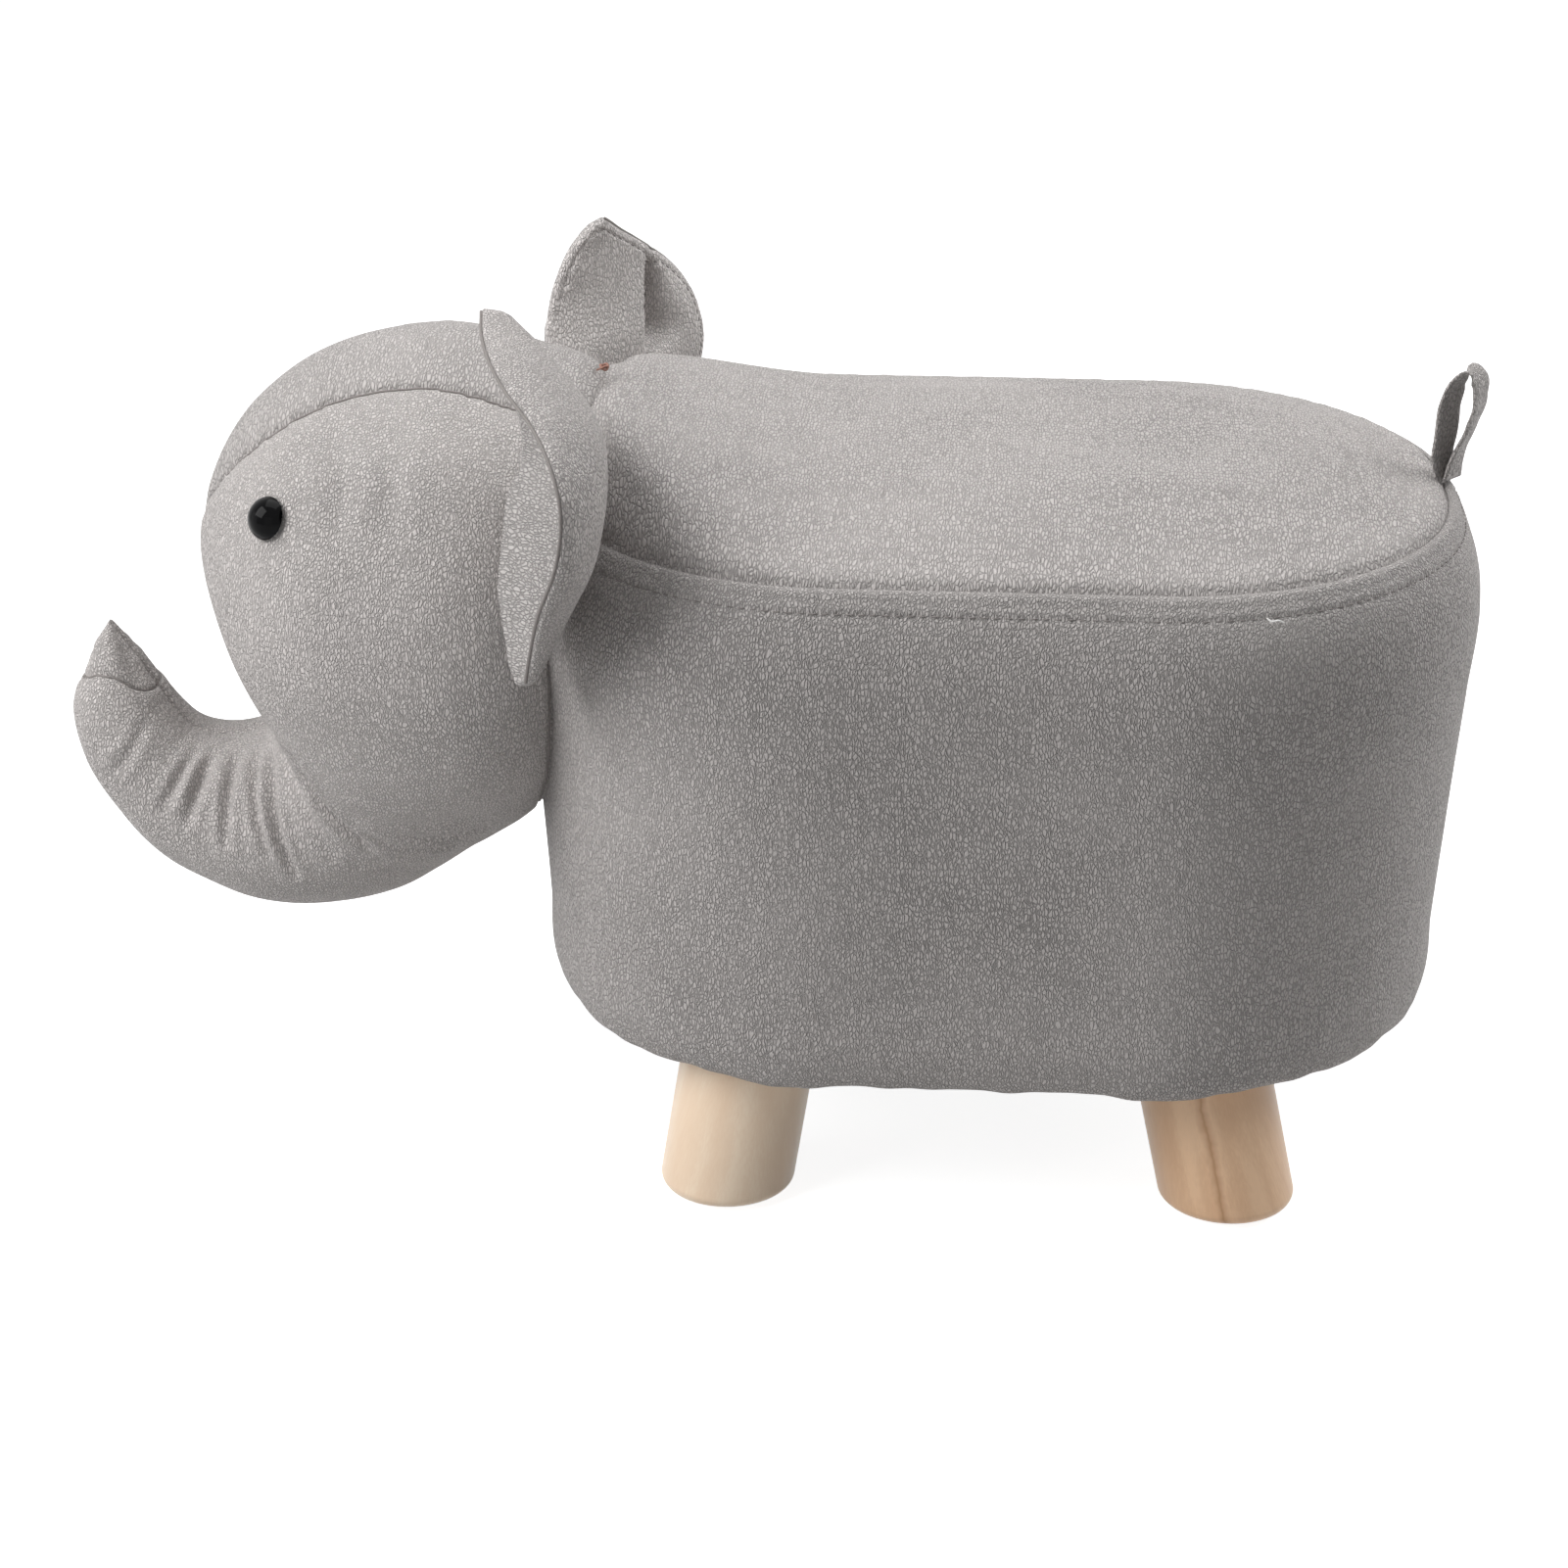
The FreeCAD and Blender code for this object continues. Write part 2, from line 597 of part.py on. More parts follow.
# The far end of the cap on the trunk's tip, in the same shares
CAP_SHARES = ((0.663, 0.207), (0.767, 0.272), 0.14)
FACE_FRONT_ROW = 6
# How round the sections are: corner radius as a share of the smaller half size
SOFT_CORNER_SHARE = 0.93


def head_rows():
    """Upper point, lower point and half width of each section from the neck to the crease."""
    front, foot = number(BODY_FRONT), size("underside_height")
    length, rise, half = size("head_length"), size("head_rise"), size("head_width") / 2
    return [(Vector(front - up[0] * length, 0, foot + up[1] * rise),
             Vector(front - low[0] * length, 0, foot + low[1] * rise), wide * half)
            for up, low, wide in HEAD_SHARES]


def trunk_rows():
    """The same for each section from the crease to the far end of the cap."""
    reach, drop, half = size("trunk_reach"), size("trunk_drop"), size("trunk_width") / 2
    crease = head_rows()[-1][0]
    return [(crease + Vector(-up[0] * reach, 0, up[1] * drop),
             crease + Vector(-low[0] * reach, 0, low[1] * drop), wide * half)
            for up, low, wide in TRUNK_SHARES + (CAP_SHARES,)]


def drawn_in(rows, inset):
    """Rows moved inward by an inset square to the form's own surface."""
    result = []
    for index, (upper, lower, half_width) in enumerate(rows):
        before, after = rows[max(index - 1, 0)], rows[min(index + 1, len(rows) - 1)]
        inward = (lower - upper).normalize()
        moved = []
        for point, end, sign in ((upper, 0, 1), (lower, 1, -1)):
            way = inward * sign
            if index not in (0, len(rows) - 1):
                along = (after[end] - before[end]).normalize()
                way = (way - along * way.dot(along)).normalize()
            moved.append(point + way * inset)
        run = ((after[0] + after[1]) - (before[0] + before[1])).Length / 2
        slope = (after[2] - before[2]) / run
        result.append((moved[0], moved[1], half_width - inset * math.sqrt(1 + slope ** 2)))
    return result


def soft_section(upper, lower, half_width):
    """Closed wire round the line between two points: a rectangle with generous round corners."""
    middle = (upper + lower) / 2
    up = (upper - lower).normalize()
    across = Vector(0, 1, 0)
    tall = (upper - lower).Length / 2
    corner = SOFT_CORNER_SHARE * min(tall, half_width)
    knee = corner * (1 - math.cos(math.pi / 4))
    edges = []
    for turn, (wide, high) in enumerate(((1, 1), (-1, 1), (-1, -1), (1, -1))):
        at_side = middle + across * wide * half_width + up * high * (tall - corner)
        at_knee = middle + across * wide * (half_width - knee) + up * high * (tall - knee)
        at_end = middle + across * wide * (half_width - corner) + up * high * tall
        if turn % 2:
            edges.append(Part.Arc(at_end, at_knee, at_side).toShape())
            follower = middle + across * wide * half_width - up * high * (tall - corner)
            edges.append(Part.LineSegment(at_side, follower).toShape())
        else:
            edges.append(Part.Arc(at_side, at_knee, at_end).toShape())
            follower = middle - across * wide * (half_width - corner) + up * high * tall
            edges.append(Part.LineSegment(at_end, follower).toShape())
    return Part.Wire(edges)


def soft_loft(rows):
    """Solid through soft sections."""
    return Part.makeLoft([soft_section(*row) for row in rows], True, False)


doc.recompute()
ply = size("cover_thickness")
gap = size("ply_gap")
form_rows = head_rows() + trunk_rows()[:-1]
cap_rows = trunk_rows()[-2:]
outer_form = soft_loft(form_rows)
head_solid = outer_form.cut(body_clearance.Shape)
head_shell = head_solid.cut(soft_loft(drawn_in(form_rows, ply)))
head_fill = soft_loft(drawn_in(form_rows, ply + gap)).cut(body_clearance.Shape)


def tongue():
    """Prism over the strip of cover along the crown, pointed at the face."""
    front = number(BODY_FRONT) - size("head_length") + size("gusset_stop")
    back = number(BODY_FRONT) + size("head_length")
    half = size("gusset_width") / 2
    shoulder = front + half
    left = Vector(shoulder, -half, 0)
    right = Vector(shoulder, half, 0)
    edges = [
        Part.Arc(left, Vector(front, 0, 0), right).toShape(),
        Part.LineSegment(right, Vector(back, half, 0)).toShape(),
        Part.LineSegment(Vector(back, half, 0), Vector(back, -half, 0)).toShape(),
        Part.LineSegment(Vector(back, -half, 0), left).toShape(),
    ]
    face = Part.Face(Part.Wire(edges))
    face.translate(Vector(0, 0, size("underside_height") + size("head_rise") * HEAD_SHARES[FACE_FRONT_ROW][0][1]))
    return face.extrude(Vector(0, 0, size("head_rise")))


def half_space(side):
    """Everything on one side of the middle plane."""
    far = number(FAR)
    return Part.makeBox(2 * far, far, 2 * far, Vector(-far, 0 if side > 0 else -far, -far))


# Eyes

def eye_seat(side):
    """Point on the head's surface and the way out of it, where an eye sits."""
    x = number(BODY_FRONT) - size("eye_forward")
    z = size("underside_height") + size("eye_rise")
    step = size("eye_diameter") / 4

    def skin(dx, dz):
        start = Vector(x + dx, 0, z + dz)
        ray = Part.LineSegment(start, start + Vector(0, side * size("head_width"), 0)).toShape()
        ends = [vertex.Point for vertex in ray.common(head_solid).Vertexes]
        return max(ends, key=lambda point: side * point.y)

    middle = skin(0, 0)
    normal = (skin(step, 0) - skin(-step, 0)).cross(skin(0, step) - skin(0, -step)).normalize()
    if normal.y * side < 0:
        normal = normal * -1
    return middle, normal


def upright(point, normal):
    """Placement that turns +Z onto a surface's normal."""
    return Placement(point, Rotation(Vector(0, 0, 1), normal))


SIDES = {"left": -1, "right": 1}
eye_places = {name: upright(*eye_seat(side)) for name, side in SIDES.items()}


def eye(name):
    """Domed button with a post behind it."""
    body = doc.addObject("PartDesign::Body", "eye_" + name)
    sketch = on_plane(body, body.newObject("Sketcher::SketchObject", "eye_profile_" + name), "XZ_Plane")
    dome_radius = "((eye_diameter / 2) ^ 2 + eye_dome ^ 2) / (2 * eye_dome)"
    outline(sketch, [
        ("0", "0 - eye_post_length"),
        ("eye_post_diameter / 2", "0 - eye_post_length"),
        ("eye_post_diameter / 2", "0"),
        ("eye_diameter / 2", "0", dome_radius, 1),
        ("0", "eye_dome"),
    ])
    turned = body.newObject("PartDesign::Revolution", "eye_turned_" + name)
    turned.Profile = sketch
    turned.ReferenceAxis = (sketch, ["V_Axis"])
    turned.Angle = 360
    body.Placement = eye_places[name]
    return body


def eye_washer(name):
    """Locking washer on the post, behind the cover."""
    disc = rod("washer_disc_" + name, "washer_diameter / 2", "washer_thickness", "0", "0",
               "0 - washer_depth - washer_thickness")
    bore = rod("washer_bore_" + name, "eye_post_diameter / 2 + joint_clearance", "washer_thickness + 2 * overrun",
               "0", "0", "0 - washer_depth - washer_thickness - overrun")
    washer = cut("eye_washer_" + name, disc, bore)
    washer.Placement = eye_places[name]
    return washer


def eye_space(name):
    """Room for an eye's post and washer in the stuffing, with play added."""
    play = size("joint_clearance")
    hole = Part.makeCylinder(size("eye_post_diameter") / 2 + play, size("eye_post_length") + play,
                             Vector(0, 0, -size("eye_post_length") - play))
    recess = Part.makeCylinder(size("washer_diameter") / 2 + play, size("washer_depth") + size("washer_thickness"),
                               Vector(0, 0, -size("washer_depth") - size("washer_thickness") - play))
    space = hole.fuse(recess)
    space.Placement = eye_places[name]
    return space


def post_hole(name):
    """Hole for an eye's post through the cover, with play added."""
    hole = Part.makeCylinder(size("eye_post_diameter") / 2 + size("joint_clearance"), 2 * size("eye_post_length"),
                             Vector(0, 0, -size("eye_post_length")))
    hole.Placement = eye_places[name]
    return hole


def past_crease():
    """Everything on the trunk's side of the section at the crease."""
    upper, lower, _ = head_rows()[-1]
    far = number(FAR)
    box = Part.makeBox(far, 2 * far, 2 * far, Vector(-far, -far, -far))
    box.Placement = Placement(upper, Rotation(Vector(0, 0, 1), upper - lower))
    return box


def head_pieces():
    """The cover's strip over the crown and its two sides, the stuffing, and the trunk's cap."""
    strip = tongue()
    rest = head_shell.cut(strip)
    pieces = [made("head_gusset", head_shell.common(strip))]
    fill = head_fill
    for name, side in SIDES.items():
        pieces.append(made("head_side_" + name, rest.common(half_space(side)).cut(post_hole(name))))
        fill = fill.cut(eye_space(name))
    pieces.append(made("head_stuffing", fill.cut(past_crease())))
    pieces.append(made("trunk_stuffing", fill.common(past_crease())))
    pieces.append(made("trunk_end_cap", soft_loft(cap_rows)))
    return pieces


# Bolster under the seat cover, from the neck back along the seat

# Along, up and across, as shares of the bolster's length, rise and width
BOLSTER_SHARES = ((0.0, 1.0, 1.0), (0.33, 0.80, 0.98), (0.66, 0.54, 0.94), (1.0, 0.26, 0.86))
# The bolster's hidden underside, as a share of its rise below the seat seam
BOLSTER_DEPTH_SHARE = 3.6


def neck_bolster():
    """Wadding that lifts the seat cover to the neck, shaped to the crown it lies on."""
    neck = head_rows()[0][0].x
    rows = []
    for along, up, wide in BOLSTER_SHARES:
        x = neck + along * size("bolster_length")
        seam = number(SEAM_HEIGHT)
        low = seam - BOLSTER_DEPTH_SHARE * size("bolster_rise")
        rows.append((Vector(x, 0, seam + up * size("bolster_rise")), Vector(x, 0, low),
                     wide * size("bolster_width") / 2))
    return made("neck_bolster", soft_loft(rows).cut(body_clearance.Shape))


# Ears: leaf outlines cut out of a cupped shell

def hinge_line(side):
    """Middle of an ear's hinge line, just clear of the head."""
    tilt = math.radians(size("ear_tilt"))
    out = Vector(0, math.cos(tilt), math.sin(tilt))
    x = number(BODY_FRONT) + size("ear_back")
    spots = [spot for wire in head_solid.slice(Vector(1, 0, 0), x) for spot in wire.discretize(Distance=ply / 4)]
    touch = max(spots, key=lambda spot: spot.dot(out))
    spot = touch + out * (size("ear_root_radius") + ply / 2 + gap)
    return Vector(spot.x, side * spot.y, spot.z)


# Bends across an ear, from its foot to its tip: up as a share of its upper or lower length, then
# the root, the middle and the rim, each out and back as shares of its reach and cup depth
EAR_SHARES = (
    (-1.000, (0.000, 0.000), (0.053, 0.083), (0.120, 0.103)),
    (-0.872, (0.000, 0.000), (0.133, 0.241), (0.253, 0.190)),
    (-0.660, (0.000, 0.000), (0.267, 0.517), (0.547, 0.379)),
    (-0.426, (0.000, 0.000), (0.400, 0.776), (0.827, 0.655)),
    (-0.128, (0.000, 0.000), (0.480, 0.948), (0.987, 0.759)),
    (0.125, (0.000, 0.000), (0.507, 1.000), (1.000, 0.621)),
    (0.333, (0.020, 0.000), (0.480, 0.840), (0.900, 0.360)),
    (0.520, (0.070, -0.060), (0.430, 0.590), (0.760, 0.080)),
    (0.700, (0.130, -0.160), (0.370, 0.270), (0.600, -0.160)),
    (0.860, (0.180, -0.270), (0.310, -0.030), (0.440, -0.330)),
    (1.000, (0.220, -0.380), (0.270, -0.300), (0.320, -0.440)),
)
# The rolled root's ends, as shares of the ear's lower and upper lengths
ROOT_LOW_SHARE = 0.75
ROOT_HIGH_SHARE = 0.28


def ear_bend(row, side, low, high, start):
    """Closed wire across an ear: a band between two offsets of the bend, from a start along it."""
    up, *spots = row
    height = up * (size("ear_upper") if up > 0 else size("ear_lower"))
    root, middle, rim = (Vector(back * size("ear_cup_depth"), side * out * size("ear_reach"), height)
                         for out, back in spots)
    bend = Part.Arc(root, middle, rim).toShape().Curve
    centre, radius = bend.Center, bend.Radius
    to_root, to_rim = (root - centre).normalize(), (rim - centre).normalize()
    turned = Rotation(Vector(0, 0, 1), side * math.degrees(start / radius))
    to_root = turned.multVec(to_root)
    to_middle = (middle - centre).normalize()
    near, far = ([centre + way * (radius + offset) for way in (to_root, to_middle, to_rim)]
                 for offset in (low, high))
    return Part.Wire([
        Part.Arc(*near).toShape(),
        Part.LineSegment(near[2], far[2]).toShape(),
        Part.Arc(*far[::-1]).toShape(),
        Part.LineSegment(far[0], near[0]).toShape(),
    ])


def ear(name):
    """Front panel, wadding with its rolled root, and back panel of one ear."""
    side = SIDES[name]
    half = size("ear_core_thickness") / 2
    clear = size("ear_root_radius") + gap
    layers = {
        "front_panel": (-half - 2 * gap - ply, -half - 2 * gap, clear),
        "core": (-half, half, 0),
        "back_panel": (half + 2 * gap, half + 2 * gap + ply, clear),
    }
    spot = hinge_line(side)
    swing = -size("ear_right_swing") if side > 0 else 0
    turn = Rotation(Vector(1, 0, 0), side * size("ear_tilt")) * Rotation(Vector(0, 0, 1), swing)
    pieces = []
    for layer, (low, high, start) in layers.items():
        label = "ear_%s_%s" % (name, layer)
        shape = Part.makeLoft([ear_bend(row, side, low, high, start) for row in EAR_SHARES], True, False)
        piece = made(label + ("_blade" if layer == "core" else ""), shape)
        if layer == "core":
            foot = "(0 - ear_lower * %g)" % ROOT_LOW_SHARE
            root = rod(label + "_root", "ear_root_radius", "ear_upper * %g - %s" % (ROOT_HIGH_SHARE, foot),
                       "0", "0", foot)
            piece = fuse(label, [piece, root])
        piece.Placement = Placement(spot, turn)
        pieces.append(piece)
    print("ear_%s hinge at" % name, spot, "axis", turn.multVec(Vector(0, 0, 1)))
    return pieces


# Tail: a strap folded into a loop, sewn in at the back of the seat seam

def tail_loop():
    """Folded strap with a rounded root, a long slit and a round bow."""
    body = doc.addObject("PartDesign::Body", "tail_loop")
    sketch = on_plane(body, body.newObject("Sketcher::SketchObject", "tail_side"), "XZ_Plane")
    lean_out = math.asin((size("tail_bow_radius") - size("tail_ply")) / size("tail_rise"))
    rise = size("tail_rise")

    def ring(radius, high, lean):
        """Tangent spots at the right and left of a circle on the middle line."""
        x, z = radius * math.cos(lean), high - radius * math.sin(lean)
        return Vector(x, z, 0), Vector(-x, z, 0)

    def closed(low_radius, low_high, top_radius, lean):
        """Two circles joined by the lines that touch both, drawn to the left of travel."""
        low_right, low_left = ring(low_radius, low_high, lean)
        top_right, top_left = ring(top_radius, rise, lean)
        first = sketch.GeometryCount
        sketch.addGeometry(Part.LineSegment(low_right, top_right), False)
        sketch.addGeometry(Part.Arc(top_right, Vector(0, rise + top_radius, 0), top_left), False)
        sketch.addGeometry(Part.LineSegment(top_left, low_left), False)
        sketch.addGeometry(Part.Arc(low_left, Vector(0, low_high - low_radius, 0), low_right), False)
        for index in range(4):
            sketch.addConstraint(Sketcher.Constraint("Tangent", first + index, 2, first + (index + 1) % 4, 1))
        return first

    outer = closed(size("tail_ply"), 0, size("tail_bow_radius"), lean_out)
    slit_radius = size("tail_ply") / 4
    slit_top = size("tail_bow_radius") - size("tail_ply")
    slit_lean = math.asin((slit_top - slit_radius) / (rise - size("tail_slit_rise")))
    slit = closed(slit_radius, size("tail_slit_rise"), slit_top, slit_lean)
    driven = [
        (Sketcher.Constraint("DistanceY", -1, 1, outer + 1, 3, rise), "tail_rise"),
        (Sketcher.Constraint("Radius", outer + 1, size("tail_bow_radius")), "tail_bow_radius"),
        (Sketcher.Constraint("Radius", outer + 3, size("tail_ply")), "tail_ply"),
        (Sketcher.Constraint("Radius", slit + 1, slit_top), "tail_bow_radius - tail_ply"),
        (Sketcher.Constraint("Radius", slit + 3, slit_radius), "tail_ply / 4"),
        (Sketcher.Constraint("DistanceY", -1, 1, slit + 3, 3, size("tail_slit_rise")), "tail_slit_rise"),
    ]
    for index, (constraint, formula) in enumerate(driven):
        label = "tail%d" % index
        sketch.renameConstraint(sketch.addConstraint(constraint), label)
        sketch.setExpression("Constraints." + label, cells(formula))
    sketch.addConstraint(Sketcher.Constraint("Coincident", outer + 3, 3, -1, 1))
    sketch.addConstraint(Sketcher.Constraint("PointOnObject", outer + 1, 3, -2))
    sketch.addConstraint(Sketcher.Constraint("Coincident", slit + 1, 3, outer + 1, 3))
    sketch.addConstraint(Sketcher.Constraint("PointOnObject", slit + 3, 3, -2))
    pad = body.newObject("PartDesign::Pad", "tail_strap")
    pad.Profile = sketch
    pad.Midplane = True
    bind(pad, Length="tail_width")
    off = size("tail_ply") + gap + gap / 2
    outward = math.radians(size("tail_seat_angle"))
    spot = Vector(number("%s + body_length / 2 - seam_inset" % BODY_X) + off * math.cos(outward),
                  size("tail_offset"), number(SEAM_HEIGHT) + off * math.sin(outward))
    body.Placement = Placement(spot, Rotation(Vector(0, 1, 0), size("tail_lean")))
    print("tail hinge at", spot)
    return body


subparts = [side_cover(), seat_cover(), seat_foam(), side_foam(), side_wrap(), base_board(), seat_board(),
            cross_rib("front_cross_rib", -1), cross_rib("rear_cross_rib", 1), centre_spine(), dust_cover(),
            screws("board_screws", "0"), group("tee_nuts", [tee_nut(corner) for corner in LEGS]),
            group("leg_bolts", [leg_bolt(corner, "leg_bolt_", "0") for corner in LEGS])]
subparts += [leg(corner) for corner in LEGS] + [foot_pad(corner) for corner in LEGS]
subparts += head_pieces() + [neck_bolster()]
for side_name in SIDES:
    subparts += [eye(side_name), eye_washer(side_name)] + ear(side_name)
subparts.append(tail_loop())
doc.recompute()

broken = [thing.Name for thing in doc.Objects if "Invalid" in thing.State or "Error" in thing.State]
for subpart in subparts:
    subpart.Label = subpart.Name
    if subpart.Shape.isNull() or not subpart.Shape.isValid() or not subpart.Shape.Solids:
        broken.append(subpart.Name)
if broken:
    raise RuntimeError("not built: " + ", ".join(broken))

os.makedirs("parts", exist_ok=True)
for subpart in subparts:
    subpart.Shape.exportStep("parts/%s.step" % subpart.Label)
    box = subpart.Shape.optimalBoundingBox()
    print("%-24s %d solids %9.0f mm3  x %6.1f %6.1f  y %6.1f %6.1f  z %6.1f %6.1f" % (
        subpart.Label, len(subpart.Shape.Solids), subpart.Shape.Volume,
        box.XMin, box.XMax, box.YMin, box.YMax, box.ZMin, box.ZMax))
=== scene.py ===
"""Look of the plush elephant footstool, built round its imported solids.

Lengths in the classes are millimetres in the part's own frame. Meshes leave them in metres.
"""

import logging
import math
from dataclasses import dataclass
from enum import Enum

import bmesh
import bpy
import numpy as np
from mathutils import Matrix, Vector


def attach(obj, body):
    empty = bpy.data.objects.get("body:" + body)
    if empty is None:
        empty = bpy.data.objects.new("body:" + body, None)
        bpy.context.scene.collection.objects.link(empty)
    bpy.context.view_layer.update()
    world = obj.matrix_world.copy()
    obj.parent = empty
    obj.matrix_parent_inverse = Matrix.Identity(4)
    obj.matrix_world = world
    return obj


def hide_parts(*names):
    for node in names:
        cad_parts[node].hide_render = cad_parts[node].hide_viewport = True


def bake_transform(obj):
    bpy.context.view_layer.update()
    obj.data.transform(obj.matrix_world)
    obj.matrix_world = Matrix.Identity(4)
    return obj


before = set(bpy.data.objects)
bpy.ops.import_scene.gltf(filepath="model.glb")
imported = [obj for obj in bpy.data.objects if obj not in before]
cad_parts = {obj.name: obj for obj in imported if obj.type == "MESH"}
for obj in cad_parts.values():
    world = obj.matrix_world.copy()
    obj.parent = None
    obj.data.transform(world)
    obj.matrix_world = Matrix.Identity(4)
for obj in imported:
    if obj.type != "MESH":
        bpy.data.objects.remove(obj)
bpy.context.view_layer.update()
MM = 0.001
BODY = "body"
# farther off than any seam, too short to divide by, and the gap that welding closes
FAR = 99.0
TINY = 1e-9
WELD_GAP = 0.02
# a direction that no thread here follows
SKEW = np.array([0.31, 0.57, 0.76])
# height of a stitch along its length, in radii of its thread
STITCH_ARCH = np.array([-0.9, 0.1, 0.35, 0.1, -0.9])
# each wave of a ripple: its height, how many times as fine it is, and how the seed shifts it
RIPPLE_WAVES = ((1.0, 1.0, 1.7), (0.7, 0.61, 2.9), (0.5, 1.57, 4.1))
log = logging.getLogger("elephant_footstool")


class Side(Enum):
    """Which side of the animal a piece is on, as the sign of its Y."""

    LEFT = -1
    RIGHT = 1

    @property
    def word(self) -> str:
        """The side as it stands in piece names."""
        return self.name.lower()


class Panel(Enum):
    """Which panel of the head's cover, as its columns and how close they stand at its edges."""

    SIDE = (150, 0.72)
    CROWN = (60, 0.5)


class Grain(Enum):
    """Which way the fabric's ridges run, as how fine they are along X, Y and Z."""

    UPRIGHT = (930.0, 930.0, 415.0)
    ACROSS = (930.0, 300.0, 350.0)
    LEVEL = (415.0, 415.0, 930.0)


# Curves and grids


def ease(t: np.ndarray) -> np.ndarray:
    """Smooth step of values, held between 0 and 1."""
    t = np.clip(t, 0.0, 1.0)
    return t * t * (3.0 - 2.0 * t)


def bell(distance: np.ndarray, width: float) -> np.ndarray:
    """1 at no distance, falling to nothing over a few widths."""
    return np.exp(-((distance / width) ** 2))


def unit(vectors: np.ndarray) -> np.ndarray:
    """The vectors at a length of one."""
    return vectors / np.maximum(np.linalg.norm(vectors, axis=-1, keepdims=True), TINY)


def turned(first: np.ndarray, second: np.ndarray, degrees: float) -> tuple:
    """Two coordinates, turned from the first axis towards the second."""
    turn = math.radians(degrees)
    return first * math.cos(turn) - second * math.sin(turn), first * math.sin(turn) + second * math.cos(turn)


def lifted(flat: np.ndarray, height: np.ndarray) -> np.ndarray:
    """Points with x and y alone, given their heights."""
    return np.concatenate([flat, height[..., None]], axis=-1)


def through(knots: np.ndarray, values: np.ndarray, at: np.ndarray) -> np.ndarray:
    """Values on a smooth curve that passes through all its knots.

    Args:
        knots: rising places of the knots.
        values: one row per knot.
        at: the places to read.

    Returns:
        One row per place.
    """
    slopes = np.gradient(values, knots, axis=0)
    low = np.clip(np.searchsorted(knots, at, side="right") - 1, 0, len(knots) - 2)
    step = (knots[low + 1] - knots[low])[:, None]
    t = ((at - knots[low])[:, None]) / step
    return ((2 * t**3 - 3 * t**2 + 1) * values[low] + (t**3 - 2 * t**2 + t) * step * slopes[low]
            + (3 * t**2 - 2 * t**3) * values[low + 1] + (t**3 - t**2) * step * slopes[low + 1])


def lengths(points: np.ndarray) -> np.ndarray:
    """Distance along a line of points, from its start to each point."""
    steps = np.linalg.norm(np.diff(points, axis=0), axis=1)
    return np.concatenate([[0.0], np.cumsum(steps)])


def read_along(run: np.ndarray, rows: np.ndarray, at: np.ndarray) -> np.ndarray:
    """Rows read at distances along a line, where the run says how far along each known row is."""
    return np.stack([np.interp(at, run, column) for column in rows.T], axis=1)


def smooth_line(points: tuple, count: int) -> np.ndarray:
    """Evenly spaced points on a smooth curve through a few points.

    Args:
        points: the known points.
        count: how many points the curve gets.

    Returns:
        One row per point.
    """
    known = np.array(points, float)
    knots = lengths(known)
    fine = through(knots, known, np.linspace(0.0, knots[-1], count * 6))
    run = lengths(fine)
    return read_along(run, fine, np.linspace(0.0, run[-1], count))


def crowded(count: int, share: float) -> np.ndarray:
    """Places from 0 to 1, closer together at both ends by a share of the even step."""
    t = np.linspace(0.0, 1.0, count)
    return t - share * np.sin(2 * math.pi * t) / (2 * math.pi)


def ripple(places: np.ndarray, wave: float, seed: float) -> np.ndarray:
    """Uneven waves along a line, between about -1 and 1.

    Args:
        places: distances along the line.
        wave: the mean wave length.
        seed: shifts the waves, so that no two lines are alike.

    Returns:
        The height at each place.
    """
    turn = 2 * math.pi / wave
    total = sum(height * np.sin(pace * turn * places + shift * seed) for height, pace, shift in RIPPLE_WAVES)
    return total / sum(height for height, pace, shift in RIPPLE_WAVES)


def lumps(points: np.ndarray, wave: float, seed: float) -> np.ndarray:
    """Slow uneven swelling over a surface, between about -1 and 1."""
    x, y, z = (points[..., k] * 2 * math.pi / wave for k in range(3))
    return (np.sin(x + 0.6 * np.sin(z + seed) + seed) + np.sin(0.83 * y - 1.3 * np.sin(0.7 * x) + 2.3 * seed)
            + np.sin(0.91 * z + 0.8 * np.sin(0.9 * y + seed) + 3.1 * seed)) / 3.0


@dataclass(frozen=True)
class Groove:
    """A line pressed into the cover, or a roll where its height is above nought."""

    height: float
    reach: float
    # how far it lies from where distances are measured
    place: float = 0.0

    def at(self, distance: np.ndarray) -> np.ndarray:
        """Its height over the plain cover."""
        return self.height * bell(distance - self.place, self.reach)


@dataclass(frozen=True)
class Pucker(Groove):
    """Small uneven waves along a seam, highest at a place beside it."""

    wave: float = 8.0
    seed: float = 1.0

    def along(self, run: np.ndarray, distance: np.ndarray, shift: float = 0.0) -> np.ndarray:
        """Its height, from the run along the seam and the distance to it. The shift is added to the seed."""
        return ripple(run, self.wave, self.seed + shift) * self.at(distance)


@dataclass(frozen=True)
class Slack:
    """Slow swelling of a cover, which grows from nothing at its seam over a reach."""

    height: float
    wave: float
    seed: float
    reach: float

    def at(self, points: np.ndarray, distance: np.ndarray, shift: float = 0.0) -> np.ndarray:
        """Its height at points that far from the seam. The shift is added to the seed."""
        return self.height * lumps(points, self.wave, self.seed + shift) * ease(distance / self.reach)


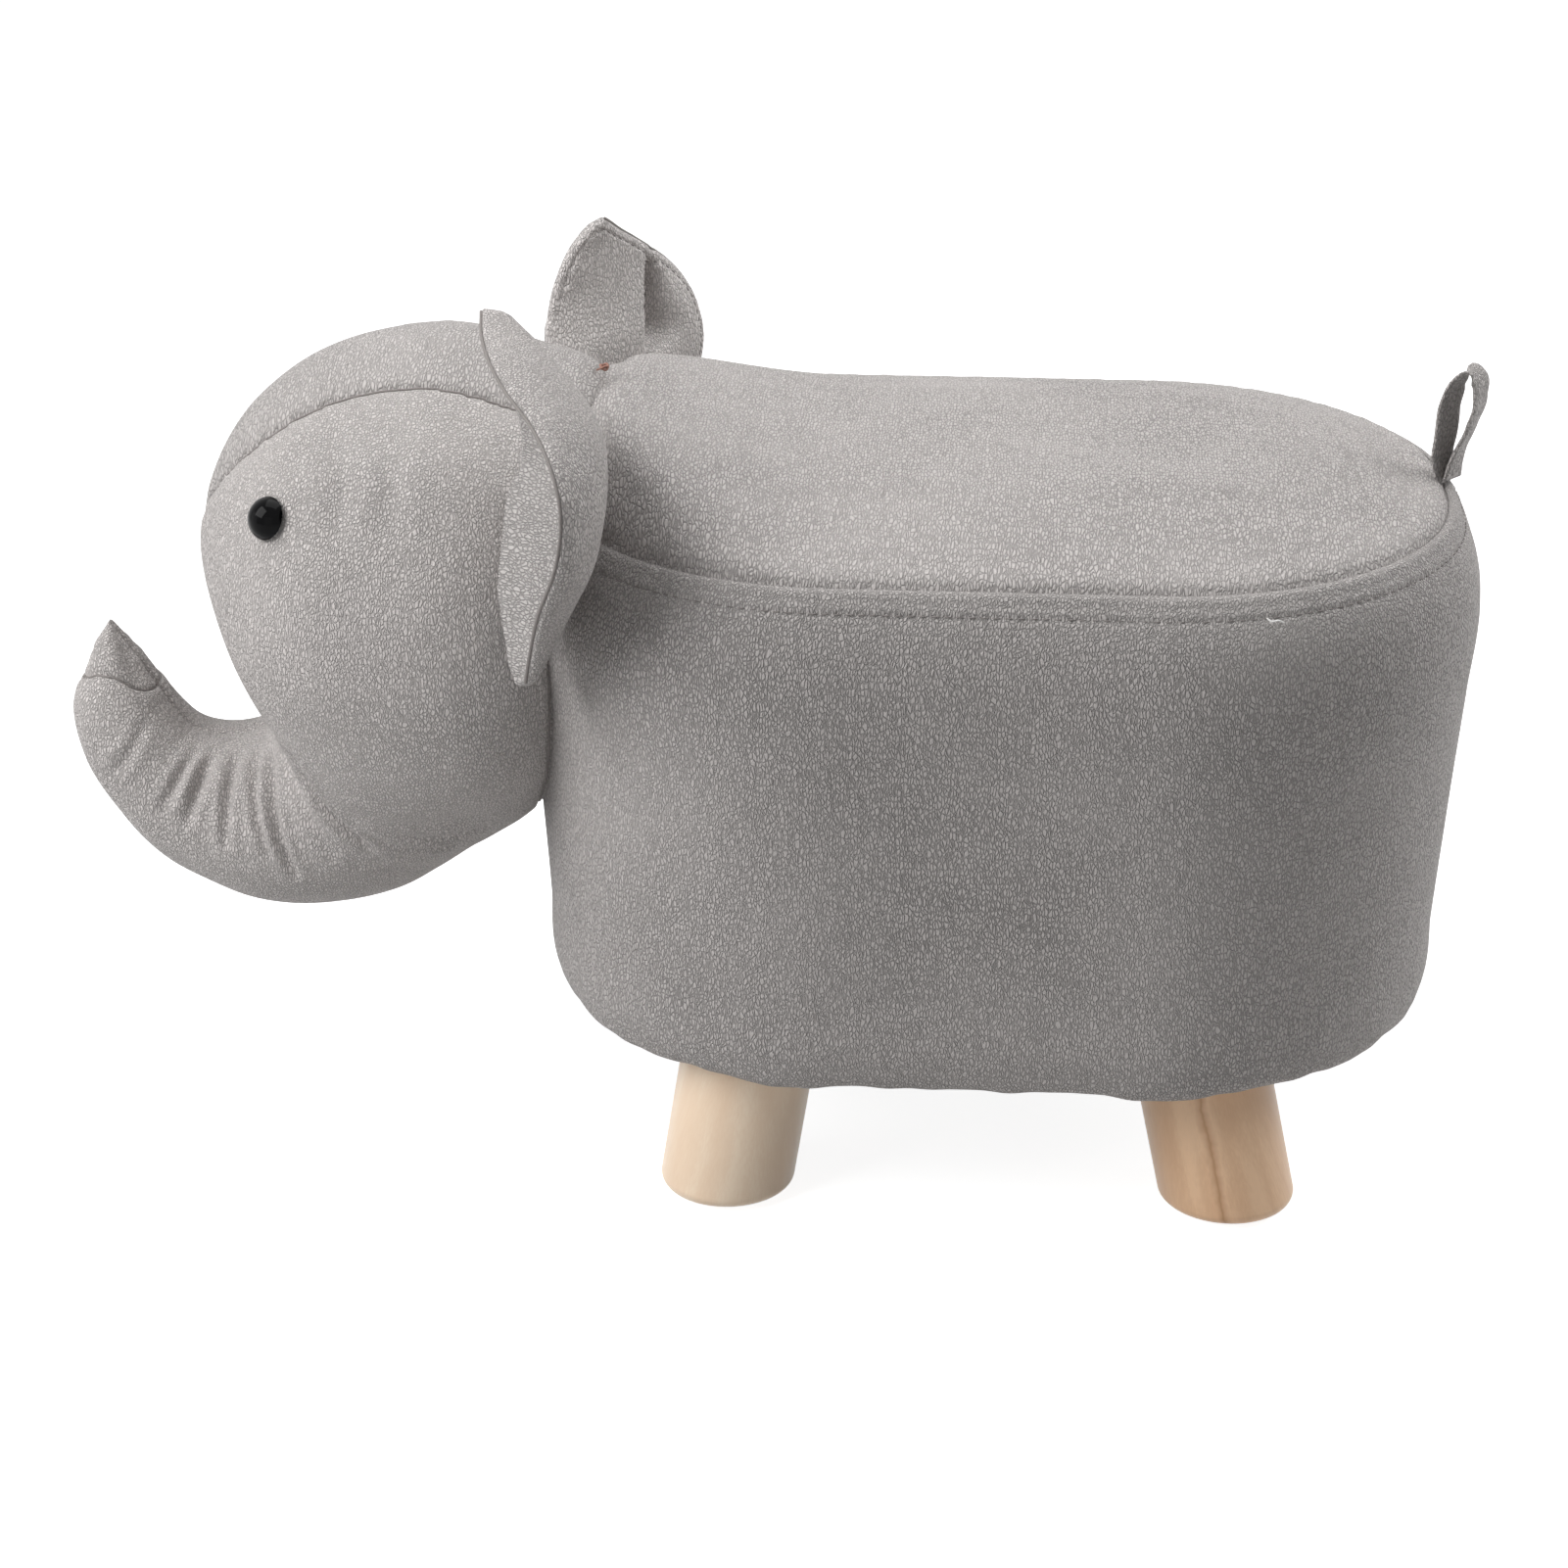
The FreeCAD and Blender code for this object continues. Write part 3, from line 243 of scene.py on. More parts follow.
@dataclass
class Sheet:
    """A grid of points in millimetres: rows, columns, then x, y and z."""

    points: np.ndarray
    closed: bool = False
    flipped: bool = False

    def normals(self) -> np.ndarray:
        """The way out of the surface at each point."""
        along = np.gradient(self.points, axis=0)
        if self.closed:
            across = np.roll(self.points, -1, axis=1) - np.roll(self.points, 1, axis=1)
        else:
            across = np.gradient(self.points, axis=1)
        out = unit(np.cross(across, along))
        return -out if self.flipped else out

    def raised(self, height: np.ndarray) -> "Sheet":
        """The same surface, lifted along its normals by a height at each point."""
        return Sheet(self.points + self.normals() * height[..., None], self.closed, self.flipped)

    def faces(self, start: int = 0) -> list:
        """Four-cornered faces between the grid's points.

        Args:
            start: number of the grid's first point.

        Returns:
            The corners of each face.
        """
        rows, columns = self.points.shape[:2]
        spans = columns if self.closed else columns - 1
        found = []
        for row in range(rows - 1):
            for column in range(spans):
                after = (column + 1) % columns
                face = [row * columns + column, row * columns + after,
                        (row + 1) * columns + after, (row + 1) * columns + column]
                found.append([start + corner for corner in (face[::-1] if self.flipped else face)])
        return found


def linked(name: str, data: bpy.types.ID) -> bpy.types.Object:
    """A new object in the scene.

    Args:
        name: of the object.
        data: its mesh, lamp or camera.

    Returns:
        The object.
    """
    thing = bpy.data.objects.new(name, data)
    bpy.context.scene.collection.objects.link(thing)
    return thing


def piece(name: str, points: np.ndarray, faces: list, finish: "Finish",
          weld: bool = False) -> bpy.types.Object:
    """A mesh object in metres with smooth shading and one finish.

    Args:
        name: the piece's name.
        points: its points, in millimetres.
        faces: corners of each face, as numbers of points.
        finish: what it is made of.
        weld: joins points that lie on each other.

    Returns:
        The object, linked to the scene.
    """
    mesh = bpy.data.meshes.new(name)
    mesh.from_pydata((points.reshape(-1, 3) * MM).tolist(), [], faces)
    thing = linked(name, mesh)
    if weld:
        work = bmesh.new()
        work.from_mesh(mesh)
        bmesh.ops.remove_doubles(work, verts=work.verts, dist=WELD_GAP * MM)
        bmesh.ops.delete(work, geom=[spot for spot in work.verts if not spot.link_faces], context="VERTS")
        work.to_mesh(mesh)
        work.free()
    mesh.polygons.foreach_set("use_smooth", [True] * len(mesh.polygons))
    mesh.update()
    mesh.materials.append(finish.material())
    return thing


def tube(rings: np.ndarray) -> tuple:
    """A closed tube through rings of points, with a flat face at both ends.

    Args:
        rings: one row of points per ring.

    Returns:
        Its points and faces.
    """
    count, sides = rings.shape[:2]
    faces = Sheet(rings, closed=True).faces()
    faces.append(list(range(sides))[::-1])
    faces.append([(count - 1) * sides + turn for turn in range(sides)])
    return rings.reshape(-1, 3), faces


def cord_mesh(line: np.ndarray, radius: float, sides: int = 6, taper: float = 0.35) -> tuple:
    """A closed round thread along a line.

    Args:
        line: points along its middle.
        radius: its radius.
        sides: how many sides it has.
        taper: how thin its two ends are, as a share of the radius.

    Returns:
        Its points and faces.
    """
    way = unit(np.gradient(line, axis=0))
    first = unit(np.cross(way, SKEW))
    second = np.cross(way, first)
    width = np.full(len(line), radius)
    width[[0, -1]] *= taper
    turns = (np.arange(sides) * 2 * math.pi / sides)[None, :, None]
    ring = first[:, None] * np.cos(turns) + second[:, None] * np.sin(turns)
    return tube(line[:, None] + ring * width[:, None, None])


def gathered(parts: list) -> tuple:
    """Several meshes as one.

    Args:
        parts: the points and faces of each.

    Returns:
        The points and faces of all.
    """
    points, faces, start = [], [], 0
    for spots, sides in parts:
        points.append(spots)
        faces += [[corner + start for corner in side] for side in sides]
        start += len(spots)
    return np.concatenate(points), faces


def stitches(line: np.ndarray, out: np.ndarray, pitch: float, stitch: float, radius: float) -> tuple:
    """Short threads laid one after another along a line.

    Args:
        line: points along the seam.
        out: the way out of the fabric at each point.
        pitch: from one stitch to the next.
        stitch: the length that shows of each.
        radius: of the thread.

    Returns:
        Their points and faces.
    """
    run = lengths(line)
    parts = []
    for start in np.arange(pitch / 2, run[-1] - stitch, pitch):
        places = start + np.linspace(0.0, stitch, len(STITCH_ARCH))
        arch = read_along(run, out, places) * STITCH_ARCH[:, None] * radius
        parts.append(cord_mesh(read_along(run, line, places) + arch, radius))
    return gathered(parts)


# Finishes


class Tree:
    """Writes the nodes of a material or a world."""

    def __init__(self, owner: bpy.types.ID, emptied: bool = True) -> None:
        """Opens a set of nodes.

        Args:
            owner: the material or world that they belong to.
            emptied: takes away those that it starts with.
        """
        self.owner = owner
        owner.use_nodes = True
        self.nodes = owner.node_tree.nodes
        if emptied:
            self.nodes.clear()

    def put(self, target: bpy.types.NodeSocket, value: object) -> None:
        """Links a socket into the target, or sets the target to a plain value."""
        if isinstance(value, bpy.types.NodeSocket):
            self.owner.node_tree.links.new(value, target)
        else:
            target.default_value = value

    def add(self, kind: str, **settings: object) -> bpy.types.Node:
        """A node with its settings.

        Args:
            kind: which node.
            settings: its own properties, or values and sockets for its inputs, with _ for a space.

        Returns:
            The node.
        """
        node = self.nodes.new(kind)
        for key, value in settings.items():
            if hasattr(node, key):
                setattr(node, key, value)
            else:
                self.put(node.inputs[key.replace("_", " ")], value)
        return node

    def work(self, operation: str, *values: object, kind: str = "ShaderNodeMath",
             **settings: object) -> bpy.types.NodeSocket:
        """A sum, product or other operation.

        Args:
            operation: which one.
            values: numbers or sockets, in the order of the node's inputs.
            kind: the node that does it.
            settings: the node's other properties.

        Returns:
            The socket with the result.
        """
        node = self.add(kind, operation=operation, **settings)
        for target, value in zip(node.inputs, values):
            self.put(target, value)
        return node.outputs[0]

    def weighed(self, *parts: tuple) -> bpy.types.NodeSocket:
        """Sum of sockets, each times its share.

        Args:
            parts: pairs of a socket and its share.

        Returns:
            The socket with the sum.
        """
        total = 0.0
        for socket, share in parts:
            total = self.work("MULTIPLY_ADD", socket, share, total)
        return total


class Nodes(Tree):
    """Writes the nodes of one finish round its shader."""

    def __init__(self, name: str) -> None:
        """Starts a material.

        Args:
            name: of the finish.
        """
        super().__init__(bpy.data.materials.new(name), emptied=False)
        self.shader = self.nodes["Principled BSDF"]
        self.place = self.add("ShaderNodeTexCoord").outputs["Object"]

    def scaled(self, scale: tuple, turn: tuple = (0.0, 0.0, 0.0)) -> bpy.types.NodeSocket:
        """Object coordinates, turned and then scaled."""
        back = self.add("ShaderNodeMapping", vector_type="TEXTURE", Vector=self.place, Rotation=turn)
        return self.add("ShaderNodeMapping", Vector=back.outputs[0], Scale=scale).outputs[0]

    def noise(self, where: bpy.types.NodeSocket, scale: float, detail: float = 2.0,
              rough: float = 0.5) -> bpy.types.NodeSocket:
        """Noise texture read at a coordinate."""
        node = self.add("ShaderNodeTexNoise", Vector=where, Scale=scale, Detail=detail, Roughness=rough)
        return node.outputs[0]

    def ramp(self, value: bpy.types.NodeSocket, *stops: tuple) -> bpy.types.NodeSocket:
        """Colour ramp over a value.

        Args:
            value: what is read.
            stops: each a place and a colour.

        Returns:
            The socket with the colour.
        """
        node = self.add("ShaderNodeValToRGB")
        points = node.color_ramp.elements
        while len(points) < len(stops):
            points.new(0.5)
        for point, (where, colour) in zip(points, stops):
            point.position = where
            point.color = (*colour, 1.0)
        self.put(node.inputs[0], value)
        return node.outputs[0]

    def bump(self, height: bpy.types.NodeSocket, strength: float, depth: float) -> bpy.types.NodeSocket:
        """The surface's normal, bumped by a height, depth in metres."""
        return self.add("ShaderNodeBump", Height=height, Strength=strength, Distance=depth).outputs[0]

    def settle(self, **sockets: object) -> bpy.types.Material:
        """Sets the shader's own sockets and gives the finished material."""
        for key, value in sockets.items():
            self.put(self.shader.inputs[key.replace("_", " ")], value)
        return self.owner


def tint(colour: tuple, factor: float) -> tuple:
    """A colour made lighter or darker by a factor."""
    return tuple(min(1.0, channel * factor) for channel in colour)


@dataclass(frozen=True)
class Finish:
    """What every finish has: a name, and one material made the first time it is needed."""

    name: str

    def material(self) -> bpy.types.Material:
        """The finish's material."""
        return bpy.data.materials.get(self.name) or self.mixed()

    def mixed(self) -> bpy.types.Material:
        """Builds the material."""
        raise NotImplementedError


@dataclass(frozen=True)
class CrepeFabric(Finish):
    """Coated upholstery fabric covered in fine long pebbles."""

    grain: Grain = Grain.UPRIGHT
    colour: tuple = (0.545, 0.513, 0.500)
    depth: float = 0.00044
    # how far the pebbles wander and over what, how unevenly they are set, how wide their slopes are
    wander: float = 1.6
    wander_scale: float = 0.45
    uneven: float = 0.8
    slope: float = 0.24
    # scale of the weave and of the slow mottling, and how much the weave adds to the pebbles' height
    weave_scale: float = 1700.0
    weave_share: float = 0.30
    mottle_scale: float = 12.0
    mottle_share: float = 0.5
    pebble_share: float = 0.52
    # painted shade in the gaps between pebbles and painted light on their tops, as factors on the colour, and
    # where each stands in the ramp
    pebble_gap_shade: float = 0.46
    pebble_top_light: float = 1.05
    tone_places: tuple = (0.15, 0.56, 0.95)
    gap_rough: float = 0.72
    top_rough: float = 0.52

    def mixed(self) -> bpy.types.Material:
        """Close-set long pebbles, bent a little, with painted shade in their gaps and painted light on their
        tops, over slow changes of tone.
        """
        desk = Nodes(self.name)
        where = desk.scaled(self.grain.value)
        drift = desk.add("ShaderNodeTexNoise", Vector=where, Scale=self.wander_scale, Detail=1.0)
        bent = desk.work("MULTIPLY_ADD", drift.outputs["Color"], (self.wander,) * 3, where,
                         kind="ShaderNodeVectorMath")
        cells = desk.add("ShaderNodeTexVoronoi", feature="DISTANCE_TO_EDGE", Vector=bent, Scale=1.0,
                         Randomness=self.uneven)
        rise = desk.add("ShaderNodeMapRange", interpolation_type="SMOOTHSTEP",
                        Value=cells.outputs["Distance"], From_Max=self.slope).outputs[0]
        weave = desk.noise(desk.place, self.weave_scale, 2.0, 0.6)
        height = desk.weighed((rise, 1.0), (weave, self.weave_share))
        slow = desk.noise(desk.place, self.mottle_scale, 4.0, 0.55)
        # the ramp paints shade into the pebbles' gaps and light onto their tops
        tones = tint(self.colour, self.pebble_gap_shade), self.colour, tint(self.colour, self.pebble_top_light)
        tone = desk.ramp(desk.weighed((rise, self.pebble_share), (slow, self.mottle_share)),
                         *zip(self.tone_places, tones))
        rough = desk.add("ShaderNodeMapRange", Value=rise, To_Min=self.gap_rough, To_Max=self.top_rough)
        return desk.settle(Base_Color=tone, Roughness=rough.outputs[0],
                           Normal=desk.bump(height, 1.0, self.depth), Specular_IOR_Level=0.22,
                           Sheen_Weight=0.05, Sheen_Roughness=0.5)


@dataclass(frozen=True)
class Pine(Finish):
    """Turned pine under a clear satin coat, grain along the leg."""

    light: tuple
    dark: tuple
    # how the leg leans, in radians about X, Y and Z
    lean: tuple
    seed: float
    # where a resin streak crosses the floor's level, in metres along X, or nought for none
    streak: float = 0.0
    streak_slope: float = 0.2217
    streak_colour: tuple = (0.46, 0.22, 0.09)
    ring_scale: tuple = (58.0, 58.0, 2.6)
    pore_scale: tuple = (1500.0, 1500.0, 45.0)

    def mixed(self) -> bpy.types.Material:
        """Year rings cut along their length, fine pores and, on some legs, one resin streak."""
        desk = Nodes(self.name)
        moved = desk.work("ADD", desk.scaled(self.ring_scale, self.lean),
                          (self.seed, 0.37 * self.seed, 0.11 * self.seed), kind="ShaderNodeVectorMath")
        bands = desk.add("ShaderNodeTexWave", wave_type="BANDS", bands_direction="X", Vector=moved,
                         Scale=0.42, Distortion=9.0, Detail=3.0).outputs["Fac"]
        pores = desk.noise(desk.scaled(self.pore_scale, self.lean), 1.0)
        grain = desk.weighed((desk.noise(moved, 1.0, 3.0, 0.55), 0.75), (bands, 0.09), (pores, 0.22))
        between = tuple((a + b) / 2 for a, b in zip(self.light, self.dark))
        tone = desk.ramp(grain, (0.34, self.dark), (0.52, between), (0.62, self.light),
                         (0.78, tint(self.light, 1.06)))
        return desk.settle(Base_Color=self.streaked(desk, tone) if self.streak else tone,
                           Normal=desk.bump(grain, 0.25, 0.0002), Roughness=0.42, Specular_IOR_Level=0.45,
                           Coat_Weight=0.25, Coat_Roughness=0.28)

    def streaked(self, desk: Nodes, tone: bpy.types.NodeSocket) -> bpy.types.NodeSocket:
        """The wood's tone with a flamed resin streak that leans with the leg.

        Args:
            desk: the finish's nodes.
            tone: the plain wood's tone.

        Returns:
            The socket with the colour.
        """
        place = desk.add("ShaderNodeSeparateXYZ", Vector=desk.place).outputs
        flame = desk.noise(desk.place, 55.0, 3.0, 0.65)
        line = desk.weighed((place[0], 1.0), (place[2], self.streak_slope), (flame, 0.007))
        away = desk.work("ABSOLUTE", desk.work("SUBTRACT", line, self.streak))
        mark = desk.ramp(desk.work("MULTIPLY", away, 250.0),
                         (0.0, (0.85,) * 3), (0.22, (0.5,) * 3), (0.75, (0.0,) * 3))
        blend = desk.add("ShaderNodeMix", data_type="RGBA")
        for slot, value in ((0, mark), (6, tone), (7, (*self.streak_colour, 1.0))):
            desk.put(blend.inputs[slot], value)
        return blend.outputs[2]


@dataclass(frozen=True)
class Plain(Finish):
    """A simple stuff: a colour broken by noise, with its own roughness and fine relief."""

    colour: tuple
    rough: float
    metal: float = 0.0
    shine: float = 0.5
    size: float = 300.0
    spread: float = 0.12
    relief: float = 0.0001
    stretch: tuple = (1.0, 1.0, 1.0)

    def mixed(self) -> bpy.types.Material:
        """Noise in the tone and the relief."""
        desk = Nodes(self.name)
        speck = desk.noise(desk.scaled(tuple(self.size * share for share in self.stretch)), 1.0, 3.0, 0.6)
        tone = desk.ramp(speck, (0.30, tint(self.colour, 1.0 - self.spread)),
                         (0.70, tint(self.colour, 1.0 + self.spread)))
        return desk.settle(Base_Color=tone, Normal=desk.bump(speck, 0.5, self.relief), Roughness=self.rough,
                           Metallic=self.metal, Specular_IOR_Level=self.shine)


SIDE_FABRIC = CrepeFabric("fabric_upright")
TOP_FABRIC = CrepeFabric("fabric_across", Grain.ACROSS)
# the head's fabric is a paler copy of the body's: painted light, as if the head were lit more than the body
PAINTED_LIGHT_HEAD_FABRIC = CrepeFabric("fabric_head", Grain.UPRIGHT, (0.665, 0.625, 0.609))
EAR_FABRIC = CrepeFabric("fabric_level", Grain.LEVEL, (0.550, 0.521, 0.508))
# a still paler copy of the fabric for the back of the far ear: painted light
PAINTED_LIGHT_EAR_FABRIC = CrepeFabric("fabric_ear_painted_light", Grain.UPRIGHT, (0.790, 0.748, 0.730))
# dark thread for the stitches and seams; along the ears' rims the same dark cord is painted shade of the
# seam's groove
THREAD_AND_SEAM_SHADE = Plain("seam_thread", (0.24, 0.22, 0.21), 0.7, size=2500.0)
PALE_THREAD = Plain("loose_thread_end", (0.78, 0.77, 0.75), 0.7, size=2500.0)
RED_THREAD = Plain("knotted_thread", (0.33, 0.17, 0.13), 0.7, size=2500.0)
EYE_GLOSS = Plain("eye_gloss", (0.002, 0.002, 0.0025), 0.06, shine=0.08, size=60.0, spread=0.2,
                  relief=0.00001)
DUST_CLOTH = Plain("dust_cloth", (0.028, 0.028, 0.03), 0.9, size=900.0, spread=0.5, relief=0.0003)
FELT = Plain("foot_felt", (0.19, 0.15, 0.11), 0.95, size=1200.0, spread=0.3, relief=0.0003)
STEEL = Plain("zinc_steel", (0.62, 0.62, 0.63), 0.35, metal=1.0, size=500.0, spread=0.08)
PLYWOOD = Plain("raw_plywood", (0.56, 0.39, 0.22), 0.75, size=40.0, spread=0.2, stretch=(0.4, 4.0, 12.0))
HARDBOARD = Plain("hardboard", (0.20, 0.11, 0.055), 0.7, size=700.0, spread=0.2)
WASHER = Plain("washer_plastic", (0.75, 0.75, 0.73), 0.5, size=80.0, spread=0.03)


# Body: side cover, seat and underside


@dataclass
class BodyForm:
    """The stuffed oval body: its outline, and how far it is drawn in at each height."""

    middle: float = 87.4
    half_length: float = 178.0
    half_width: float = 130.0
    corner: float = 121.0
    underside: float = 59.5
    seam_height: float = 257.0
    seam_inset: float = 13.8
    crown: float = 16.0
    crown_reach: float = 86.0
    crown_power: float = 0.8
    neck_end: float = 33.0
    neck_run: float = 90.0
    neck_rise: float = 29.5
    neck_power: float = 2.04
    neck_limit: float = 1.06
    neck_edge: float = 27.0
    # how far the side is drawn in, and its height
    side: tuple = ((38.0, 59.5), (29.0, 59.5), (21.0, 59.6), (13.2, 62.7), (10.0, 70.5), (8.6, 94.7),
                   (6.8, 124.9), (5.0, 155.1), (2.5, 188.3), (0.0, 221.5), (0.97, 232.2), (4.14, 243.5),
                   (8.28, 251.3), (13.8, 257.0))
    # the first of these rows that is past the turn of the hem
    upright: int = 4
    arc_points: int = 160

    def outline(self, count: int) -> tuple:
        """Evenly spaced points on the widest outline, and the level way out at each.

        Args:
            count: how many points.

        Returns:
            Points and normals, both with x and y alone.
        """
        turn = np.concatenate([np.linspace(q, q + 1, self.arc_points) for q in range(4)]) * math.pi / 2
        quarter = np.repeat(np.arange(4), self.arc_points)
        signs = np.array([(1, 1), (-1, 1), (-1, -1), (1, -1)])[quarter]
        out = np.stack([np.cos(turn), np.sin(turn)], axis=1)
        straight = np.array([self.half_length, self.half_width]) - self.corner
        spots = np.array([self.middle, 0.0]) + straight * signs + self.corner * out
        spots, out = np.concatenate([spots, spots[:1]]), np.concatenate([out, out[:1]])
        run = lengths(spots)
        even = np.linspace(0.0, run[-1], count, endpoint=False)
        return read_along(run, spots, even), read_along(run, out, even)

    def spokes(self, count: int, inset: float) -> tuple:
        """A rim inside the outline, and the middle line that its points are drawn in to.

        Args:
            count: how many points.
            inset: how far inside the outline the rim lies.

        Returns:
            The rim, the level way out at its points and their places on the middle line.
        """
        spots, out = self.outline(count)
        rim = spots - out * inset
        core = self.half_length - self.corner
        along = self.middle + np.clip(rim[:, 0] - self.middle, -core, core)
        return rim, out, np.stack([along, np.zeros(count)], axis=1)

    def seat_height(self, x: np.ndarray, inward: np.ndarray) -> np.ndarray:
        """Height of the seat cover.

        Args:
            x: how far along the body.
            inward: distance from the seat's seam.

        Returns:
            The height at each place.
        """
        dome = np.sin(math.pi / 2 * np.clip(inward / self.crown_reach, 0, 1) ** self.crown_power)
        slope = np.clip((self.neck_end - x) / self.neck_run, 0, self.neck_limit) ** self.neck_power
        swell = 1 - (1 - np.clip(inward / self.neck_edge, 0, 1)) ** 2
        return self.seam_height + self.crown * dome + self.neck_rise * slope * swell

    def depth(self, points: np.ndarray) -> np.ndarray:
        """How deep points lie inside the body's surface.

        Args:
            points: the places.

        Returns:
            The depth at each, negative outside the body.
        """
        side = np.array(self.side)[self.upright:]
        drawn = np.interp(points[..., 2], side[:, 1], side[:, 0])
        gap_x = np.abs(points[..., 0] - self.middle) - (self.half_length - self.corner)
        gap_y = np.abs(points[..., 1]) - (self.half_width - self.corner)
        corner = np.hypot(np.maximum(gap_x, 0), np.maximum(gap_y, 0))
        reach = corner + np.minimum(np.maximum(gap_x, gap_y), 0) - self.corner
        top = self.seat_height(points[..., 0], -(reach + self.seam_inset)) - points[..., 2]
        return np.minimum(-(reach + drawn), np.where(points[..., 2] > self.seam_height, top, FAR))


FORM = BodyForm()


@dataclass
class SideCover:
    """Cover round the body from the hem under it to the seam round the seat."""

    columns: int = 560
    rows: int = 150
    # the rows stand closer together over this much of the cover below its seam
    fine_rows: int = 50
    fine_reach: float = 30.0
    # the strip behind the seam: how far in, how far up, and how far along the cover past the seam
    tucks: tuple = ((0.9, -0.6, -0.5), (1.5, -3.0, -2.0))
    seam: Groove = Groove(-1.1, 1.3)
    turn: Groove = Groove(0.75, 2.2, 3.2)
    # height of the seam allowance under the cover, where it starts, and how softly it starts and ends
    welt: float = 0.25
    welt_start: float = -0.5
    welt_edges: tuple = (2.5, 2.2)
    slack: Slack = Slack(0.9, 150.0, 2.0, 25.0)
    # the hem's waves: how high, the height where they end, over how much they fade, and the share,
    # length and seed of each
    hem_wave: float = 1.54
    hem_top: float = 80.0
    hem_fade: float = 22.0
    hem_waves: tuple = ((1.0, 74.0, 2.0), (0.35, 23.0, 5.0))
    # the row of stitches below the seam
    stitch_drop: float = 10.5
    stitch_pitch: float = 4.2
    stitch_length: float = 2.9
    stitch_radius: float = 0.25
    stitch_lift: float = 0.15
    stitch_tip: float = 0.4
    stitch_points: int = 900
    thread: Groove = Groove(-0.40, 0.9)
    pucker: Pucker = Pucker(0.30, 5.0, wave=9.0, seed=1.0)
    neck_gap: float = 38.0

    def grid(self) -> Sheet:
        """The side with its hem, seam, raised seam allowance and soft unevenness."""
        spots, out = FORM.outline(self.columns)
        profile, tucks = np.array(FORM.side), np.array(self.tucks)
        run = lengths(profile)
        seats = np.concatenate([np.linspace(0.0, run[-1] - self.fine_reach, self.rows - self.fine_rows)[:-1],
                                np.linspace(run[-1] - self.fine_reach, run[-1], self.fine_rows)])
        seam = np.array([FORM.seam_inset, FORM.seam_height])
        drawn = np.concatenate([through(run, profile, seats), seam + tucks[:, :2]])
        height = np.repeat(drawn[:, 1:], self.columns, axis=1)
        points = lifted(spots[None] - out[None] * drawn[:, 0][:, None, None], height)
        below = np.concatenate([run[-1] - seats, tucks[:, 2]])[:, None]
        around = np.linspace(0, lengths(spots)[-1], self.columns)[None]
        start, end = self.welt_edges
        welt = self.welt * ease((below - self.welt_start) / start) * ease((self.stitch_drop - below) / end)
        sewn = self.thread.at(below - self.stitch_drop) + self.pucker.along(around, below - self.stitch_drop)
        skin = Sheet(points, closed=True).raised(self.seam.at(below) + self.turn.at(below) + welt + sewn
                                                 + self.slack.at(points, below))
        waves = sum(share * ripple(around, wave, seed) for share, wave, seed in self.hem_waves)
        skin.points[..., 2] += self.hem_wave * ease((self.hem_top - height) / self.hem_fade) * waves
        return skin

    def build(self) -> None:
        """Makes the cover and the row of stitches below its seam."""
        skin = self.grid()
        cover = piece("side_cover_skin", skin.points, skin.faces(), SIDE_FABRIC)
        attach(cover, BODY)
        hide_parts("side_cover", "side_foam")
        profile = np.array(FORM.side)
        run = lengths(profile)
        drawn, height = through(run, profile, np.array([run[-1] - self.stitch_drop]))[0]
        # the row starts at the neck, where its stitches are left out
        count = self.stitch_points
        spots, out = (np.roll(part, count // 2, axis=0) for part in FORM.outline(count))
        line = lifted(spots - out * (drawn + self.stitch_lift), np.full(count, height))
        away = lifted(out, np.full(count, self.stitch_tip))
        shown = line[:, 0] > FORM.middle - FORM.half_length + self.neck_gap
        points, faces = stitches(line[shown], away[shown], self.stitch_pitch, self.stitch_length,
                                 self.stitch_radius)
        row = piece("side_topstitch", points, faces, THREAD_AND_SEAM_SHADE)
        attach(row, BODY)
        log.info("side cover: %d points, topstitch %d points", skin.points[..., 0].size, len(points))


